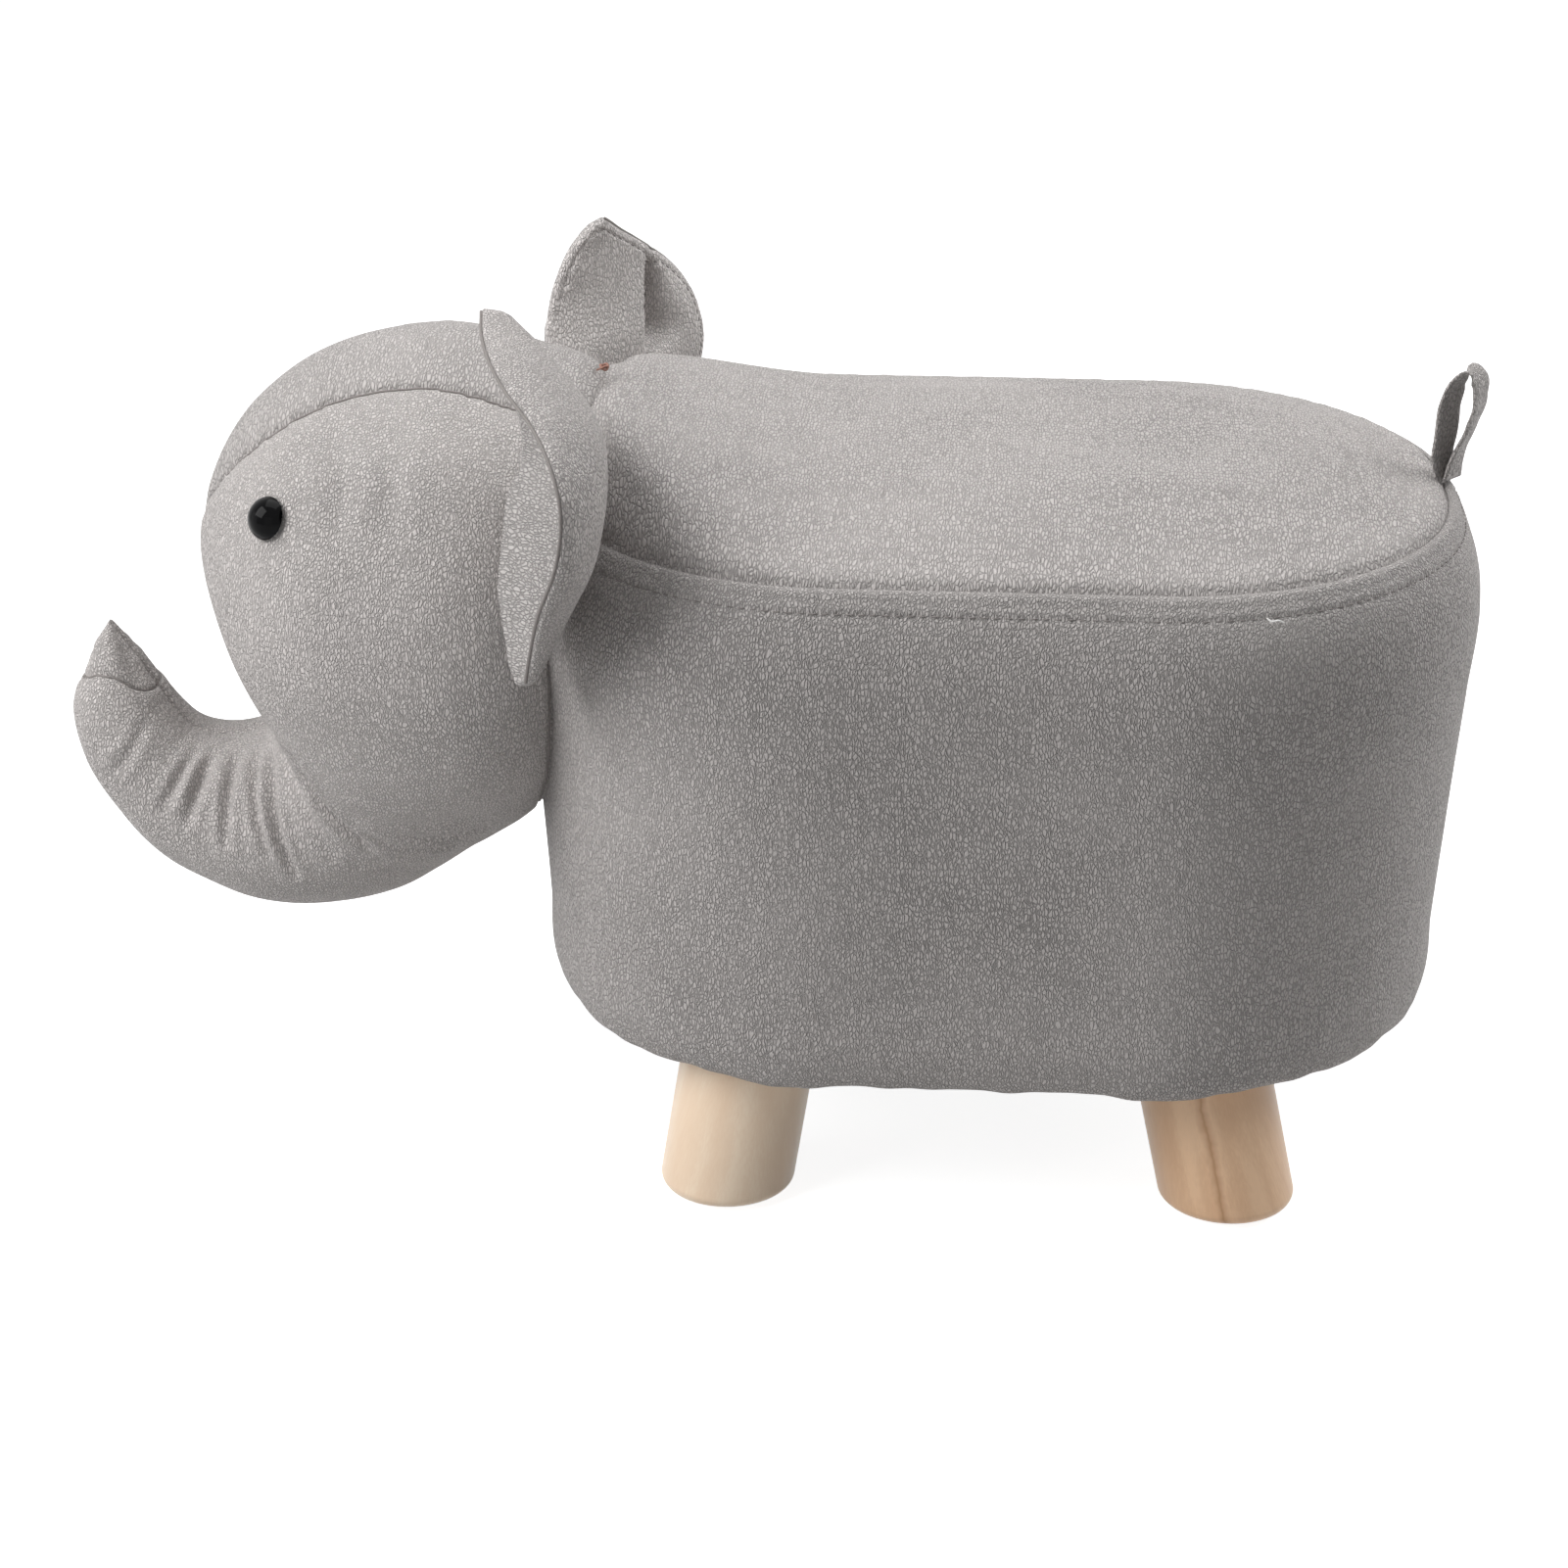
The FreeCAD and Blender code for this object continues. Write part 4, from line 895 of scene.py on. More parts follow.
@dataclass
class SeatCover:
    """Crowned seat that is drawn up to the neck."""

    columns: int = 560
    # the rows stand closer together over this much of the cover inside its seam
    fine_rows: int = 22
    fine_reach: float = 12.0
    wide_rows: int = 46
    # the strip behind the seam: how far out, and how far down
    tucks: tuple = ((1.4, 3.4), (0.7, 1.2))
    seam: Groove = Groove(-0.9, 1.6)
    roll: Groove = Groove(0.45, 3.6, 5.5)
    pucker: Pucker = Pucker(0.22, 4.5, 4.0, wave=11.0, seed=3.0)
    slack: Slack = Slack(0.8, 120.0, 4.0, 30.0)
    # the neck's seam crosses the seat at this X, and half its length
    neck: Groove = Groove(-1.3, 2.6, -56.0)
    neck_half: float = 64.0

    def build(self) -> None:
        """Makes the seat cover."""
        rim, _, middle = FORM.spokes(self.columns, FORM.seam_inset)
        span = np.linalg.norm(rim - middle, axis=1)
        tucks = np.array(self.tucks)
        inward = np.concatenate([
            -tucks[:, 0], np.linspace(0, self.fine_reach, self.fine_rows)[:-1],
            np.linspace(self.fine_reach, FORM.half_width - FORM.seam_inset, self.wide_rows)])
        share = 1 - inward / inward[-1]
        share[:len(tucks)] = 1 + tucks[:, 0] / span.min()
        flat = middle[None] + (rim - middle)[None] * share[:, None, None]
        distance = np.maximum((1 - share)[:, None] * span[None], 0)
        height = FORM.seat_height(flat[..., 0], distance)
        height[:len(tucks)] -= tucks[:, 1:]
        skin = Sheet(lifted(flat, height), closed=True)
        around = np.linspace(0, lengths(rim)[-1], self.columns)[None]
        neck = self.neck.at(flat[..., 0]) * (np.abs(flat[..., 1]) < self.neck_half)
        sewn = self.seam.at(distance) + self.roll.at(distance) + self.pucker.along(around, distance)
        skin = skin.raised(sewn + self.slack.at(skin.points, distance) + neck)
        cover = piece("seat_cover_skin", skin.points, skin.faces(), TOP_FABRIC, weld=True)
        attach(cover, BODY)
        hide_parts("seat_cover", "seat_foam", "neck_bolster")
        log.info("seat cover: %d points", skin.points[..., 0].size)


@dataclass
class Underside:
    """Dust cloth stapled under the base."""

    inset: float = 25.0
    columns: int = 240
    rows: int = 26
    clearance: float = 0.75
    sag: float = 0.35
    sag_wave: float = 60.0
    staple_count: int = 46
    staple_inset: float = 6.0
    staple_radius: float = 0.35
    # points of a staple's wire: along it, and down from the base
    staple: tuple = ((-5.0, 0.3), (-4.9, 1.5), (-4.0, 1.75), (4.0, 1.75), (4.9, 1.5), (5.0, 0.3))

    def build(self) -> None:
        """Makes the dust cloth and its staples."""
        rim, out, middle = FORM.spokes(self.columns, self.inset)
        share = np.linspace(1.0, 0.0, self.rows)[:, None, None]
        flat = middle[None] + (rim - middle)[None] * share
        sag = self.sag * lumps(lifted(flat, flat[..., 0]), self.sag_wave, 1.0) * (1 - share[..., 0] ** 4)
        height = FORM.underside - self.clearance - np.abs(sag)
        skin = Sheet(lifted(flat, height), closed=True, flipped=True)
        cloth = piece("dust_cloth_sheet", skin.points, skin.faces(), DUST_CLOTH, weld=True)
        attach(cloth, BODY)
        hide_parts("dust_cover")
        parts = []
        for index in range(self.staple_count):
            at = int(index * (self.columns / self.staple_count))
            spot = rim[at] - out[at] * self.staple_inset
            along = np.array([-out[at][1], out[at][0]])
            wire = np.array([[*(spot + along * shift), FORM.underside - drop] for shift, drop in self.staple])
            parts.append(cord_mesh(wire, self.staple_radius, 5, 1.0))
        points, faces = gathered(parts)
        staples = piece("dust_cloth_staples", points, faces, STEEL)
        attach(staples, BODY)
        log.info("underside: cloth and %d staples", self.staple_count)


# Head, trunk and neck


@dataclass(frozen=True)
class Crease:
    """A wrinkle in the head's cover, seen from the side: its line, width and depth."""

    line: tuple
    width: float
    depth: float
    # the rolls beside the fold: their height as a share of its depth, their place and width in its widths
    roll: float = 0.45
    roll_place: float = 2.1
    roll_width: float = 1.1
    # where on a half wave its ends are, and how fast it fades to them
    end_share: float = 0.08
    fade_power: float = 0.7
    spots: int = 24

    def at(self, x: np.ndarray, z: np.ndarray) -> np.ndarray:
        """Height over the plain cover, a fold with a roll on both sides.

        Args:
            x: places along the animal.
            z: their heights.

        Returns:
            The height at each.
        """
        line = smooth_line(self.line, self.spots)
        away = np.hypot(x[..., None] - line[:, 0], z[..., None] - line[:, 1])
        near = away.min(axis=-1)
        share = away.argmin(axis=-1) / (self.spots - 1)
        fade = np.sin(math.pi * (self.end_share + (1 - 2 * self.end_share) * share)) ** self.fade_power
        roll = self.roll * bell(near - self.roll_place * self.width, self.roll_width * self.width)
        return self.depth * fade * (roll - bell(near, self.width))


@dataclass
class HeadSkin:
    """Stuffed head and trunk: one soft form, cut into its sewn panels."""

    # upper point, lower point (each x, z) and half width, from the neck round to the trunk's tip
    sections: tuple = (
        (-47.0, 279.0, -53.0, 149.0, 50.0), (-55.0, 290.5, -58.7, 144.5, 58.0),
        (-63.0, 296.6, -65.0, 139.5, 67.0), (-84.8, 302.0, -78.8, 130.1, 81.9),
        (-118.8, 309.0, -89.7, 122.1, 90.0), (-151.9, 304.0, -96.8, 116.9, 90.0),
        (-182.2, 288.0, -102.8, 112.4, 86.4), (-201.9, 262.1, -107.8, 108.9, 80.1),
        (-210.4, 231.9, -111.8, 105.9, 72.0), (-203.5, 205.0, -115.8, 102.9, 63.9),
        (-193.9, 184.0, -119.8, 99.9, 56.7), (-186.0, 165.0, -124.8, 96.4, 51.3),
        (-189.1, 154.6, -137.0, 87.8, 47.1), (-195.1, 150.0, -155.1, 82.2, 44.0),
        (-204.0, 147.0, -180.0, 79.5, 40.9), (-213.1, 147.0, -206.2, 84.1, 37.0),
        (-221.1, 150.0, -230.3, 94.8, 33.0), (-226.0, 155.0, -248.8, 113.9, 29.0),
        (-230.1, 161.1, -262.8, 139.0, 25.1), (-232.1, 165.0, -266.0, 162.0, 21.1),
        (-235.1, 169.0, -259.1, 179.0, 15.4), (-240.6, 178.5, -256.0, 186.0, 10.6),
        (-246.5, 186.5, -252.5, 190.2, 5.0), (-249.4, 190.5, -251.6, 191.7, 2.2),
        (-250.7, 191.9, -250.7, 191.9, 0.01))
    # rows of that table where the trunk's cap is sewn on and where the gusset ends
    cap_row: float = 20.0
    face_row: float = 8.0
    cap_lean: float = 6.5
    roundness: float = 2.12
    section_points: int = 361
    gusset_half: float = 39.0
    gusset_tip: float = -210.6
    gusset_end: float = 9.0
    eye: tuple = (-172.8, 65.0, 258.5)
    eye_seat: float = 1.2
    eye_reach: float = 12.5
    rows: int = 440
    crown_rows: int = 110
    crown_end_rows: int = 16
    cap_rows: int = 30
    # radius of the seams' threads, how far they go into the body, and how far each stands out of its seam
    thread: float = 0.42
    under_thread: float = 0.336
    thread_depth: float = 1.0
    thread_lift: float = 0.2
    gusset_lift: float = 0.28
    neck_lift: float = 0.3
    gusset_gap: float = 3.0
    neck_points: int = 160
    ring_points: int = 60
    # the cover goes on this far into the body, and its relief fades where the trunk is this narrow
    tucked: float = 6.0
    tip_fade: float = 6.0
    seam: tuple = (Groove(-1.35, 1.2), Groove(-0.7, 4.5))
    under_seam: tuple = (Groove(-1.0, 1.3), Groove(-0.4, 4.0))
    cap_seam: tuple = (Groove(-0.9, 1.0), Groove(-0.5, 3.0))
    neck_seam: tuple = (Groove(-1.6, 1.6, 0.3), Groove(-0.8, 7.0))
    pucker: Pucker = Pucker(0.34, 4.0, 3.5, wave=8.0, seed=1.3)
    under_pucker: Pucker = Pucker(0.25, 4.0, 3.0, wave=7.0, seed=2.2)
    slack: tuple = (Slack(1.1, 90.0, 1.4, 14.0), Slack(0.45, 38.0, 3.3, 14.0))
    creases: tuple = (
        Crease(((-203.4, 154.0), (-212.0, 141.0), (-218.1, 124.0)), 2.1, 2.9),
        Crease(((-211.5, 152.0), (-222.0, 138.0), (-229.0, 126.0)), 1.8, 1.6),
        Crease(((-197.0, 156.0), (-202.0, 136.0), (-203.0, 116.0)), 1.9, 2.6),
        Crease(((-190.5, 156.0), (-191.5, 138.0), (-186.0, 114.0)), 1.7, 1.9),
        Crease(((-184.9, 152.0), (-183.0, 130.0), (-176.0, 106.0)), 1.9, 2.3),
        Crease(((-171.5, 164.0), (-162.0, 142.0), (-146.0, 121.0)), 2.0, 2.9),
        Crease(((-178.5, 160.0), (-171.0, 139.0), (-160.0, 116.0)), 2.4, 1.2),
        Crease(((-146.2, 127.0), (-127.0, 120.0), (-109.0, 120.6), (-84.3, 131.6)), 2.2, 2.1),
        Crease(((-138.0, 133.0), (-118.0, 128.0), (-99.0, 131.0), (-84.0, 138.0)), 2.2, 1.3),
        Crease(((-136.0, 117.0), (-116.0, 114.0), (-97.0, 117.0)), 1.8, 1.4),
        Crease(((-150.0, 142.0), (-128.0, 137.0), (-104.0, 142.0)), 3.0, 0.9),
        Crease(((-245.9, 186.0), (-238.0, 174.0), (-228.0, 169.0)), 3.0, 1.5),
        Crease(((-236.0, 156.0), (-240.0, 148.0), (-248.0, 138.0)), 2.2, 1.1),
        Crease(((-152.0, 287.0), (-146.0, 272.0), (-147.0, 258.0)), 4.5, 1.3),
        Crease(((-132.0, 289.0), (-127.0, 276.0), (-128.0, 262.0)), 4.5, 1.0),
    )
    # wrinkles and hollows stay off the middle by these shares of the half width, left and right, and
    # come in over the third; the far side's wrinkles lie up to this far beside the near side's
    off_left: float = 0.3
    off_right: float = 0.5
    off_run: float = 0.45
    far_shift: float = 2.5
    # soft hollows in the cheeks and trunk, and swells where the depth is below nought: x, z, reach and depth
    hollows: tuple = ((-142.0, 284.0, 19.0, 1.5), (-121.0, 262.0, 24.0, 1.2), (-205.0, 245.0, 15.0, 0.8),
                      (-160.0, 205.0, 30.0, -1.6), (-150.0, 168.0, 20.0, 1.1), (-243.0, 160.0, 12.0, 0.9))

    def __post_init__(self) -> None:
        """Lays the rows' places along the form."""
        self.table = np.array(self.sections)
        upper, lower = self.table[:, 0:2], self.table[:, 2:4]
        self.knots = (lengths((upper + lower) / 2) + lengths(lower) + lengths(upper)) / 3

    def place_of(self, row: float) -> float:
        """Where a row of the table lies along the form."""
        return float(np.interp(row, np.arange(len(self.knots)), self.knots))

    def cap_line(self, y: np.ndarray, wide: np.ndarray) -> np.ndarray:
        """Where the cap's seam lies along the form, at places that far from the middle of its half width."""
        return self.place_of(self.cap_row) - self.cap_lean * (1 - np.clip(np.abs(y) / wide, 0, 1) ** 2)

    def section(self, row: np.ndarray) -> np.ndarray:
        """Half of one section, from its top down its left side.

        Args:
            row: of the table, or between its rows.

        Returns:
            Closely spaced points.
        """
        upper, lower = np.array([row[0], 0, row[1]]), np.array([row[2], 0, row[3]])
        turn = np.linspace(math.pi / 2, -math.pi / 2, self.section_points)
        power = 2 / self.roundness
        wide = np.abs(np.cos(turn)) ** power
        tall = np.sign(np.sin(turn)) * np.abs(np.sin(turn)) ** power
        upright = (upper + lower) / 2 + tall[:, None] * (upper - lower) / 2
        return upright + wide[:, None] * np.array([0, -row[4], 0])

    def gusset_edge(self, half: np.ndarray, run: np.ndarray, place: float) -> float:
        """Distance along a half section from its top to the gusset's seam.

        Args:
            half: the section's points.
            run: how far along the section each is.
            place: where the section lies along the form.

        Returns:
            The distance, nought past the gusset's end.
        """
        if place >= self.place_of(self.face_row):
            return 0.0
        short = np.clip(self.gusset_tip + self.gusset_half - half[:, 0], 0, self.gusset_half)
        wide = np.sqrt(self.gusset_half**2 - short**2)
        past = np.nonzero(np.abs(half[:, 1]) >= wide)[0]
        past = past[past > 0]
        return float(run[past[0]]) if len(past) else 0.0

    def relief(self, points: np.ndarray, to_seam: np.ndarray, to_under: np.ndarray, along: np.ndarray,
               wide: np.ndarray) -> np.ndarray:
        """Height of the cover over the plain form.

        Args:
            points: places on the form.
            to_seam: distance to the nearest panel seam.
            to_under: distance to the seam along the middle of the under side.
            along: distance along the form.
            wide: the section's half width.

        Returns:
            The height at each point.
        """
        x, y, z = (points[..., k] for k in range(3))
        height = sum(groove.at(to_seam) for groove in self.seam)
        height += sum(groove.at(to_under) for groove in self.under_seam)
        height += self.pucker.along(along, to_seam) + self.under_pucker.along(along, to_under)
        height += sum(slack.at(points, to_seam) for slack in self.slack)
        middle = np.where(y > 0, self.off_right, self.off_left) * wide
        off_middle = ease((np.abs(y) - middle) / (self.off_run * wide))
        for number, crease in enumerate(self.creases):
            shift = np.where(y > 0, self.far_shift * math.sin(3.0 * number), 0.0)
            height += crease.at(x + shift, z - shift) * off_middle
        for spot_x, spot_z, reach, drop in self.hollows:
            height -= drop * bell(np.hypot(x - spot_x, z - spot_z), reach) * off_middle
        height += sum(groove.at(FORM.depth(points)) for groove in self.neck_seam)
        height += sum(groove.at(along - self.cap_line(y, wide)) for groove in self.cap_seam)
        eye_x, eye_y, eye_z = self.eye
        away = np.sqrt((x - eye_x) ** 2 + (np.abs(y) - eye_y) ** 2 + (z - eye_z) ** 2)
        height += self.eye_seat * bell(away, self.eye_reach)
        # fades where the trunk's tip closes
        return height * np.minimum(wide / self.tip_fade, 1.0)

    def panel(self, places: np.ndarray, kind: Panel, side: Side = Side.LEFT) -> tuple:
        """Grid of one panel of the cover, with its relief.

        Args:
            places: where its rows lie along the form.
            kind: a side panel goes from the gusset's seam down to the under side's, and the crown
                from the left gusset seam to the right one.
            side: which side a side panel is on.

        Returns:
            The sheet, and how deep each point lies in the body.
        """
        rows = through(self.knots, self.table, places)
        columns = crowded(*kind.value)
        points, to_seam, to_under = [], [], []
        for row, place in zip(rows, places):
            half = self.section(row)
            run = lengths(half)
            edge = self.gusset_edge(half, run, place)
            if kind is Panel.SIDE:
                at, sign = edge + (run[-1] - edge) * columns, -side.value
            else:
                at = edge * (2 * columns - 1)
                sign = -np.sign(at)
            down = np.abs(at)
            spot = read_along(run, half, down)
            spot[:, 1] *= sign
            points.append(spot)
            to_seam.append(np.abs(down - edge))
            to_under.append(run[-1] - down)
        points = np.array(points)
        along = np.repeat(places[:, None], len(columns), axis=1)
        wide = np.repeat(rows[:, 4:], len(columns), axis=1)
        height = self.relief(points, np.array(to_seam), np.array(to_under), along, wide)
        sheet = Sheet(points, flipped=kind is Panel.SIDE and side is Side.LEFT)
        return sheet.raised(height), FORM.depth(points)

    def add(self, name: str, sheets: list, finish: Finish, nodes: list) -> None:
        """Makes one panel, leaves out what lies deep in the body, and ties it to the frame.

        Args:
            name: the piece's name.
            sheets: its grids, each with its depth in the body.
            finish: what it is made of.
            nodes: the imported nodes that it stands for.
        """
        points, faces, keep, start = [], [], [], 0
        for sheet, depth in sheets:
            faces += sheet.faces(start)
            points.append(sheet.points.reshape(-1, 3))
            keep += (depth.reshape(-1) < self.tucked).tolist()
            start += len(points[-1])
        faces = [face for face in faces if any(keep[corner] for corner in face)]
        made = piece(name, np.concatenate(points), faces, finish, weld=True)
        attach(made, BODY)
        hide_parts(*nodes)

    def seams(self, sheets: dict, places: np.ndarray) -> None:
        """Lays the threads of the gusset, under, cap and neck seams.

        Args:
            sheets: each side's panel, with its depth in the body.
            places: where the panels' rows lie along the form.
        """
        cords = []
        for side, (sheet, depth) in sheets.items():
            out = sheet.normals()
            end = self.place_of(self.face_row) - self.gusset_gap
            rows = np.nonzero((depth[:, 0] < self.thread_depth) & (places < end))[0]
            cords.append(cord_mesh(sheet.points[rows, 0] + out[rows, 1] * self.gusset_lift, self.thread))
            if side is Side.LEFT:
                rows = np.nonzero(depth[:, -1] < self.thread_depth)[0]
                line = sheet.points[rows, -1] + out[rows, -2] * self.thread_lift
                cords.append(cord_mesh(line, self.under_thread))
            neck, ring = [], []
            wide = np.maximum(np.abs(sheet.points[:, :, 1]).max(axis=1), 1.0)
            for column in range(sheet.points.shape[1]):
                crossed = np.nonzero(depth[:, column] < self.neck_lift)[0]
                if len(crossed) and crossed[0] > 0:
                    neck.append(sheet.points[crossed[0], column] + out[crossed[0], column] * self.neck_lift)
                row = int(np.argmin(np.abs(places - self.cap_line(sheet.points[:, column, 1], wide))))
                ring.append(sheet.points[row, column] + out[row, column] * self.thread_lift)
            cords.append(cord_mesh(smooth_line(neck[::3], self.neck_points), self.thread))
            cords.append(cord_mesh(smooth_line(ring[::5], self.ring_points), self.thread))
        points, faces = gathered(cords)
        made = piece("head_seam_threads", points, faces, THREAD_AND_SEAM_SHADE)
        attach(made, BODY)

    def build(self) -> None:
        """Makes the gusset, both side panels with their half of the trunk, and the end cap."""
        cap, tip = self.place_of(self.cap_row), self.place_of(self.face_row)
        body_places = np.linspace(0.0, cap, self.rows)
        cap_places = np.linspace(cap, self.knots[-1], self.cap_rows)
        crown_places = np.concatenate([np.linspace(0.0, tip - self.gusset_end, self.crown_rows)[:-1],
                                       np.linspace(tip - self.gusset_end, tip, self.crown_end_rows)])
        self.add("head_gusset_skin", [self.panel(crown_places, Panel.CROWN)], TOP_FABRIC,
                 ["head_gusset", "head_stuffing"])
        sides = {side: self.panel(body_places, Panel.SIDE, side) for side in Side}
        for side, sheet in sides.items():
            nodes = ["head_side_" + side.word] + (["trunk_stuffing"] if side is Side.LEFT else [])
            self.add("head_side_%s_skin" % side.word, [sheet], PAINTED_LIGHT_HEAD_FABRIC, nodes)
        self.seams(sides, body_places)
        self.add("trunk_cap_skin", [self.panel(cap_places, Panel.SIDE, side) for side in Side], PAINTED_LIGHT_HEAD_FABRIC,
                 ["trunk_end_cap"])
        log.info("head: %d sections, %d creases", len(self.sections), len(self.creases))


# Ears


# each row is a height, then root, middle and rim (each out, back)
NEAR_BENDS = (
    (-57.0, 0.0, 0.0, 4.2, 2.4, 9.6, 3.0), (-49.7, 0.0, -2.5, 10.6, 7.0, 20.2, 5.5),
    (-37.6, 0.0, -5.0, 21.4, 15.0, 43.8, 11.0), (-24.3, 0.0, -7.5, 32.0, 22.5, 66.2, 19.0),
    (-7.3, 0.0, -7.0, 38.4, 27.5, 79.0, 22.0), (9.0, 0.0, -5.5, 40.6, 30.0, 80.0, 18.0),
    (24.0, 1.6, -2.0, 38.4, 29.0, 72.0, 10.0), (37.4, 5.6, -3.0, 34.4, 22.5, 60.8, -0.5),
    (50.4, 10.4, -8.0, 29.6, 11.5, 48.0, -8.4), (61.9, 14.4, -12.5, 24.8, 1.0, 35.2, -13.0),
    (72.0, 17.6, -14.5, 21.6, -9.5, 25.6, -14.8))
FAR_BENDS = (
    (-47.0, 0.0, 0.0, 4.2, 5.0, 9.0, 9.0), (-41.0, 0.0, -1.0, 10.6, 12.0, 22.0, 20.0),
    (-31.0, 0.0, -2.0, 21.0, 19.0, 44.0, 33.0), (-20.0, 0.0, -4.0, 30.0, 22.0, 57.0, 35.5),
    (-7.7, 1.0, -8.0, 36.0, 21.0, 65.0, 32.0), (4.0, 6.0, -12.0, 39.0, 17.0, 68.0, 26.0),
    (13.0, 15.0, -15.0, 42.0, 11.5, 67.0, 20.5), (22.0, 24.0, -15.5, 44.5, 6.0, 63.5, 15.0),
    (30.0, 31.0, -14.0, 46.0, 1.5, 60.0, 9.5), (36.4, 37.0, -11.5, 47.5, -1.5, 57.0, 5.0),
    (42.0, 43.0, -7.5, 49.0, -2.0, 54.5, 2.0), (46.0, 48.5, -2.5, 50.2, -1.0, 52.0, 0.6))


@dataclass
class Ear:
    """Cupped ear of two sewn panels: bends from its foot up to its tip."""

    side: Side
    bends: tuple
    swing: float = 0.0
    tilt: float = 28.0
    hinge: tuple = (-78.8, 74.7, 261.0)
    half_thickness: float = 2.7
    rim_thickness: float = 0.6
    rim_reach: float = 6.0
    stitched_back: bool = False
    # the pleat's depth, the X of its front edge, and how far over the hinge its foot and top are
    pleat: float = 0.0
    pleat_front: float = -56.0
    pleat_foot: float = 6.0
    pleat_top: float = 49.0
    # how softly its front edge, top and foot come in, and the least and most that it runs out over
    pleat_edge: float = 1.6
    pleat_fades: tuple = (10.0, 12.0)
    pleat_runs: tuple = (2.5, 15.0)
    pleat_flat: float = 2.0
    # the back panel's finish, a paler copy of the fabric: painted light on the ear's back
    back_painted_light_finish: CrepeFabric = PAINTED_LIGHT_HEAD_FABRIC
    # the root strip that is sewn to the head, as two distances outward
    sewn_reach: tuple = (2.0, 26.0)
    # the root comes free from this height over the hinge on, within this much more
    free_from: float = 4.0
    free_run: float = 14.0
    stitch_inset: float = 4.0
    stitch_pitch: float = 3.4
    stitch_length: float = 2.3
    stitch_radius: float = 0.24
    # radius of the dark rim cord, painted shade of the seam's groove, and how far it stands out
    rim_shade_radius: float = 0.62
    rim_shade_lift: float = 0.45
    groove: Groove = Groove(-0.6, 0.9)
    pucker: Pucker = Pucker(0.24, 3.2, wave=6.5, seed=1.0)
    slack: Slack = Slack(0.9, 48.0, 2.0, 10.0)
    rows: int = 120
    columns: int = 84
    # how much closer the rows stand at foot and tip, and the columns at the rim
    row_crowding: float = 0.6
    rim_crowding: float = 1.35
    # how fast the pillow closes at foot and tip, and the rows there that get no stitches
    tip_pace: float = 1.1
    bare_rows: int = 6

    @property
    def name(self) -> str:
        """The ear's body in the frame."""
        return "ear_" + self.side.word

    def middle_sheet(self) -> tuple:
        """The surface half way between the panels, with the distance from the sewn rim.

        Returns:
            Points in the ear's own frame (back, out, up), the distance from the edge, and the
            distance from the rim alone.
        """
        table = np.array(self.bends)
        heights = table[0, 0] + (table[-1, 0] - table[0, 0]) * crowded(self.rows, self.row_crowding)
        bends = through(table[:, 0], table, heights)
        t = (1 - (1 - np.linspace(0, 1, self.columns)) ** self.rim_crowding)[None, :, None]
        root, middle, rim = (np.stack([bends[:, k + 1], bends[:, k]], axis=1)[:, None] for k in (1, 3, 5))
        control = 2 * middle - (root + rim) / 2
        level = (1 - t) ** 2 * root + 2 * t * (1 - t) * control + t**2 * rim
        points = lifted(level, np.repeat(bends[:, :1], self.columns, axis=1))
        across = np.linalg.norm(np.diff(points, axis=1), axis=2)
        none = np.zeros((self.rows, 1))
        beyond = np.concatenate([np.cumsum(across[:, ::-1], axis=1)[:, ::-1], none], axis=1)
        tip = np.minimum(heights - heights[0], heights[-1] - heights)[:, None] * self.tip_pace
        free = np.cumsum(np.concatenate([none, across], axis=1), axis=1)
        loose = ease((heights - self.free_from) / self.free_run)[:, None]
        edge = np.minimum(np.minimum(beyond, tip), free * loose + FAR * (1 - loose))
        return points, edge, beyond

    def placed(self, points: np.ndarray) -> np.ndarray:
        """Points from the ear's own frame into the part's.

        Args:
            points: each back, out and up from the hinge.

        Returns:
            The same points as x, y and z.
        """
        sign = self.side.value
        x, y = turned(points[..., 0], points[..., 1] * sign, self.swing)
        y, z = turned(y, points[..., 2], self.tilt * sign)
        return np.stack([self.hinge[0] + x, sign * self.hinge[1] + y, self.hinge[2] + z], axis=-1)

    def follow(self, made: bpy.types.Object) -> None:
        """Bakes the piece's placement into its mesh."""
        self.name
        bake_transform(made)

    def pocket(self, points: np.ndarray) -> np.ndarray:
        """How far the pleat is pressed in, sharp at its front edge.

        Args:
            points: places in the ear's own frame.

        Returns:
            The depth at each.
        """
        spots = self.placed(points)
        along = spots[..., 0] - self.pleat_front
        over_hinge = spots[..., 2] - self.hinge[2]
        below_top = self.pleat_top - over_hinge
        top, foot = self.pleat_fades
        run = np.clip(0.5 * below_top, *self.pleat_runs)
        share = ease(along / self.pleat_edge) * (1 - ease((along - self.pleat_flat) / run))
        return self.pleat * share * ease(below_top / top) * ease((over_hinge - self.pleat_foot) / foot)

    def build(self) -> None:
        """Makes the ear's two panels as one closed pillow, then a dark cord along its rim, which is painted
        shade of the seam's groove, and its stitches.
        """
        points, edge, beyond = self.middle_sheet()
        out = Sheet(points).normals()
        if self.pleat:
            points = points - out * self.pocket(points)[..., None]
            out = Sheet(points).normals()
        sign, from_stitch = self.side.value, edge - self.stitch_inset
        swell = np.sqrt(np.clip(1 - (1 - np.clip(edge / self.rim_reach, 0, 1)) ** 2, 0, 1))
        puff = self.rim_thickness + (self.half_thickness - self.rim_thickness) * swell
        groove = self.groove.at(from_stitch)
        pucker = self.pucker.along(lengths(points[:, -1])[:, None], from_stitch, sign)
        shift = out * self.slack.at(points, edge, sign)[..., None]
        front = points - out * (puff + groove + pucker)[..., None] + shift
        back = points + out * (puff + groove * self.stitched_back - pucker)[..., None] + shift
        self.pillow(front, back)
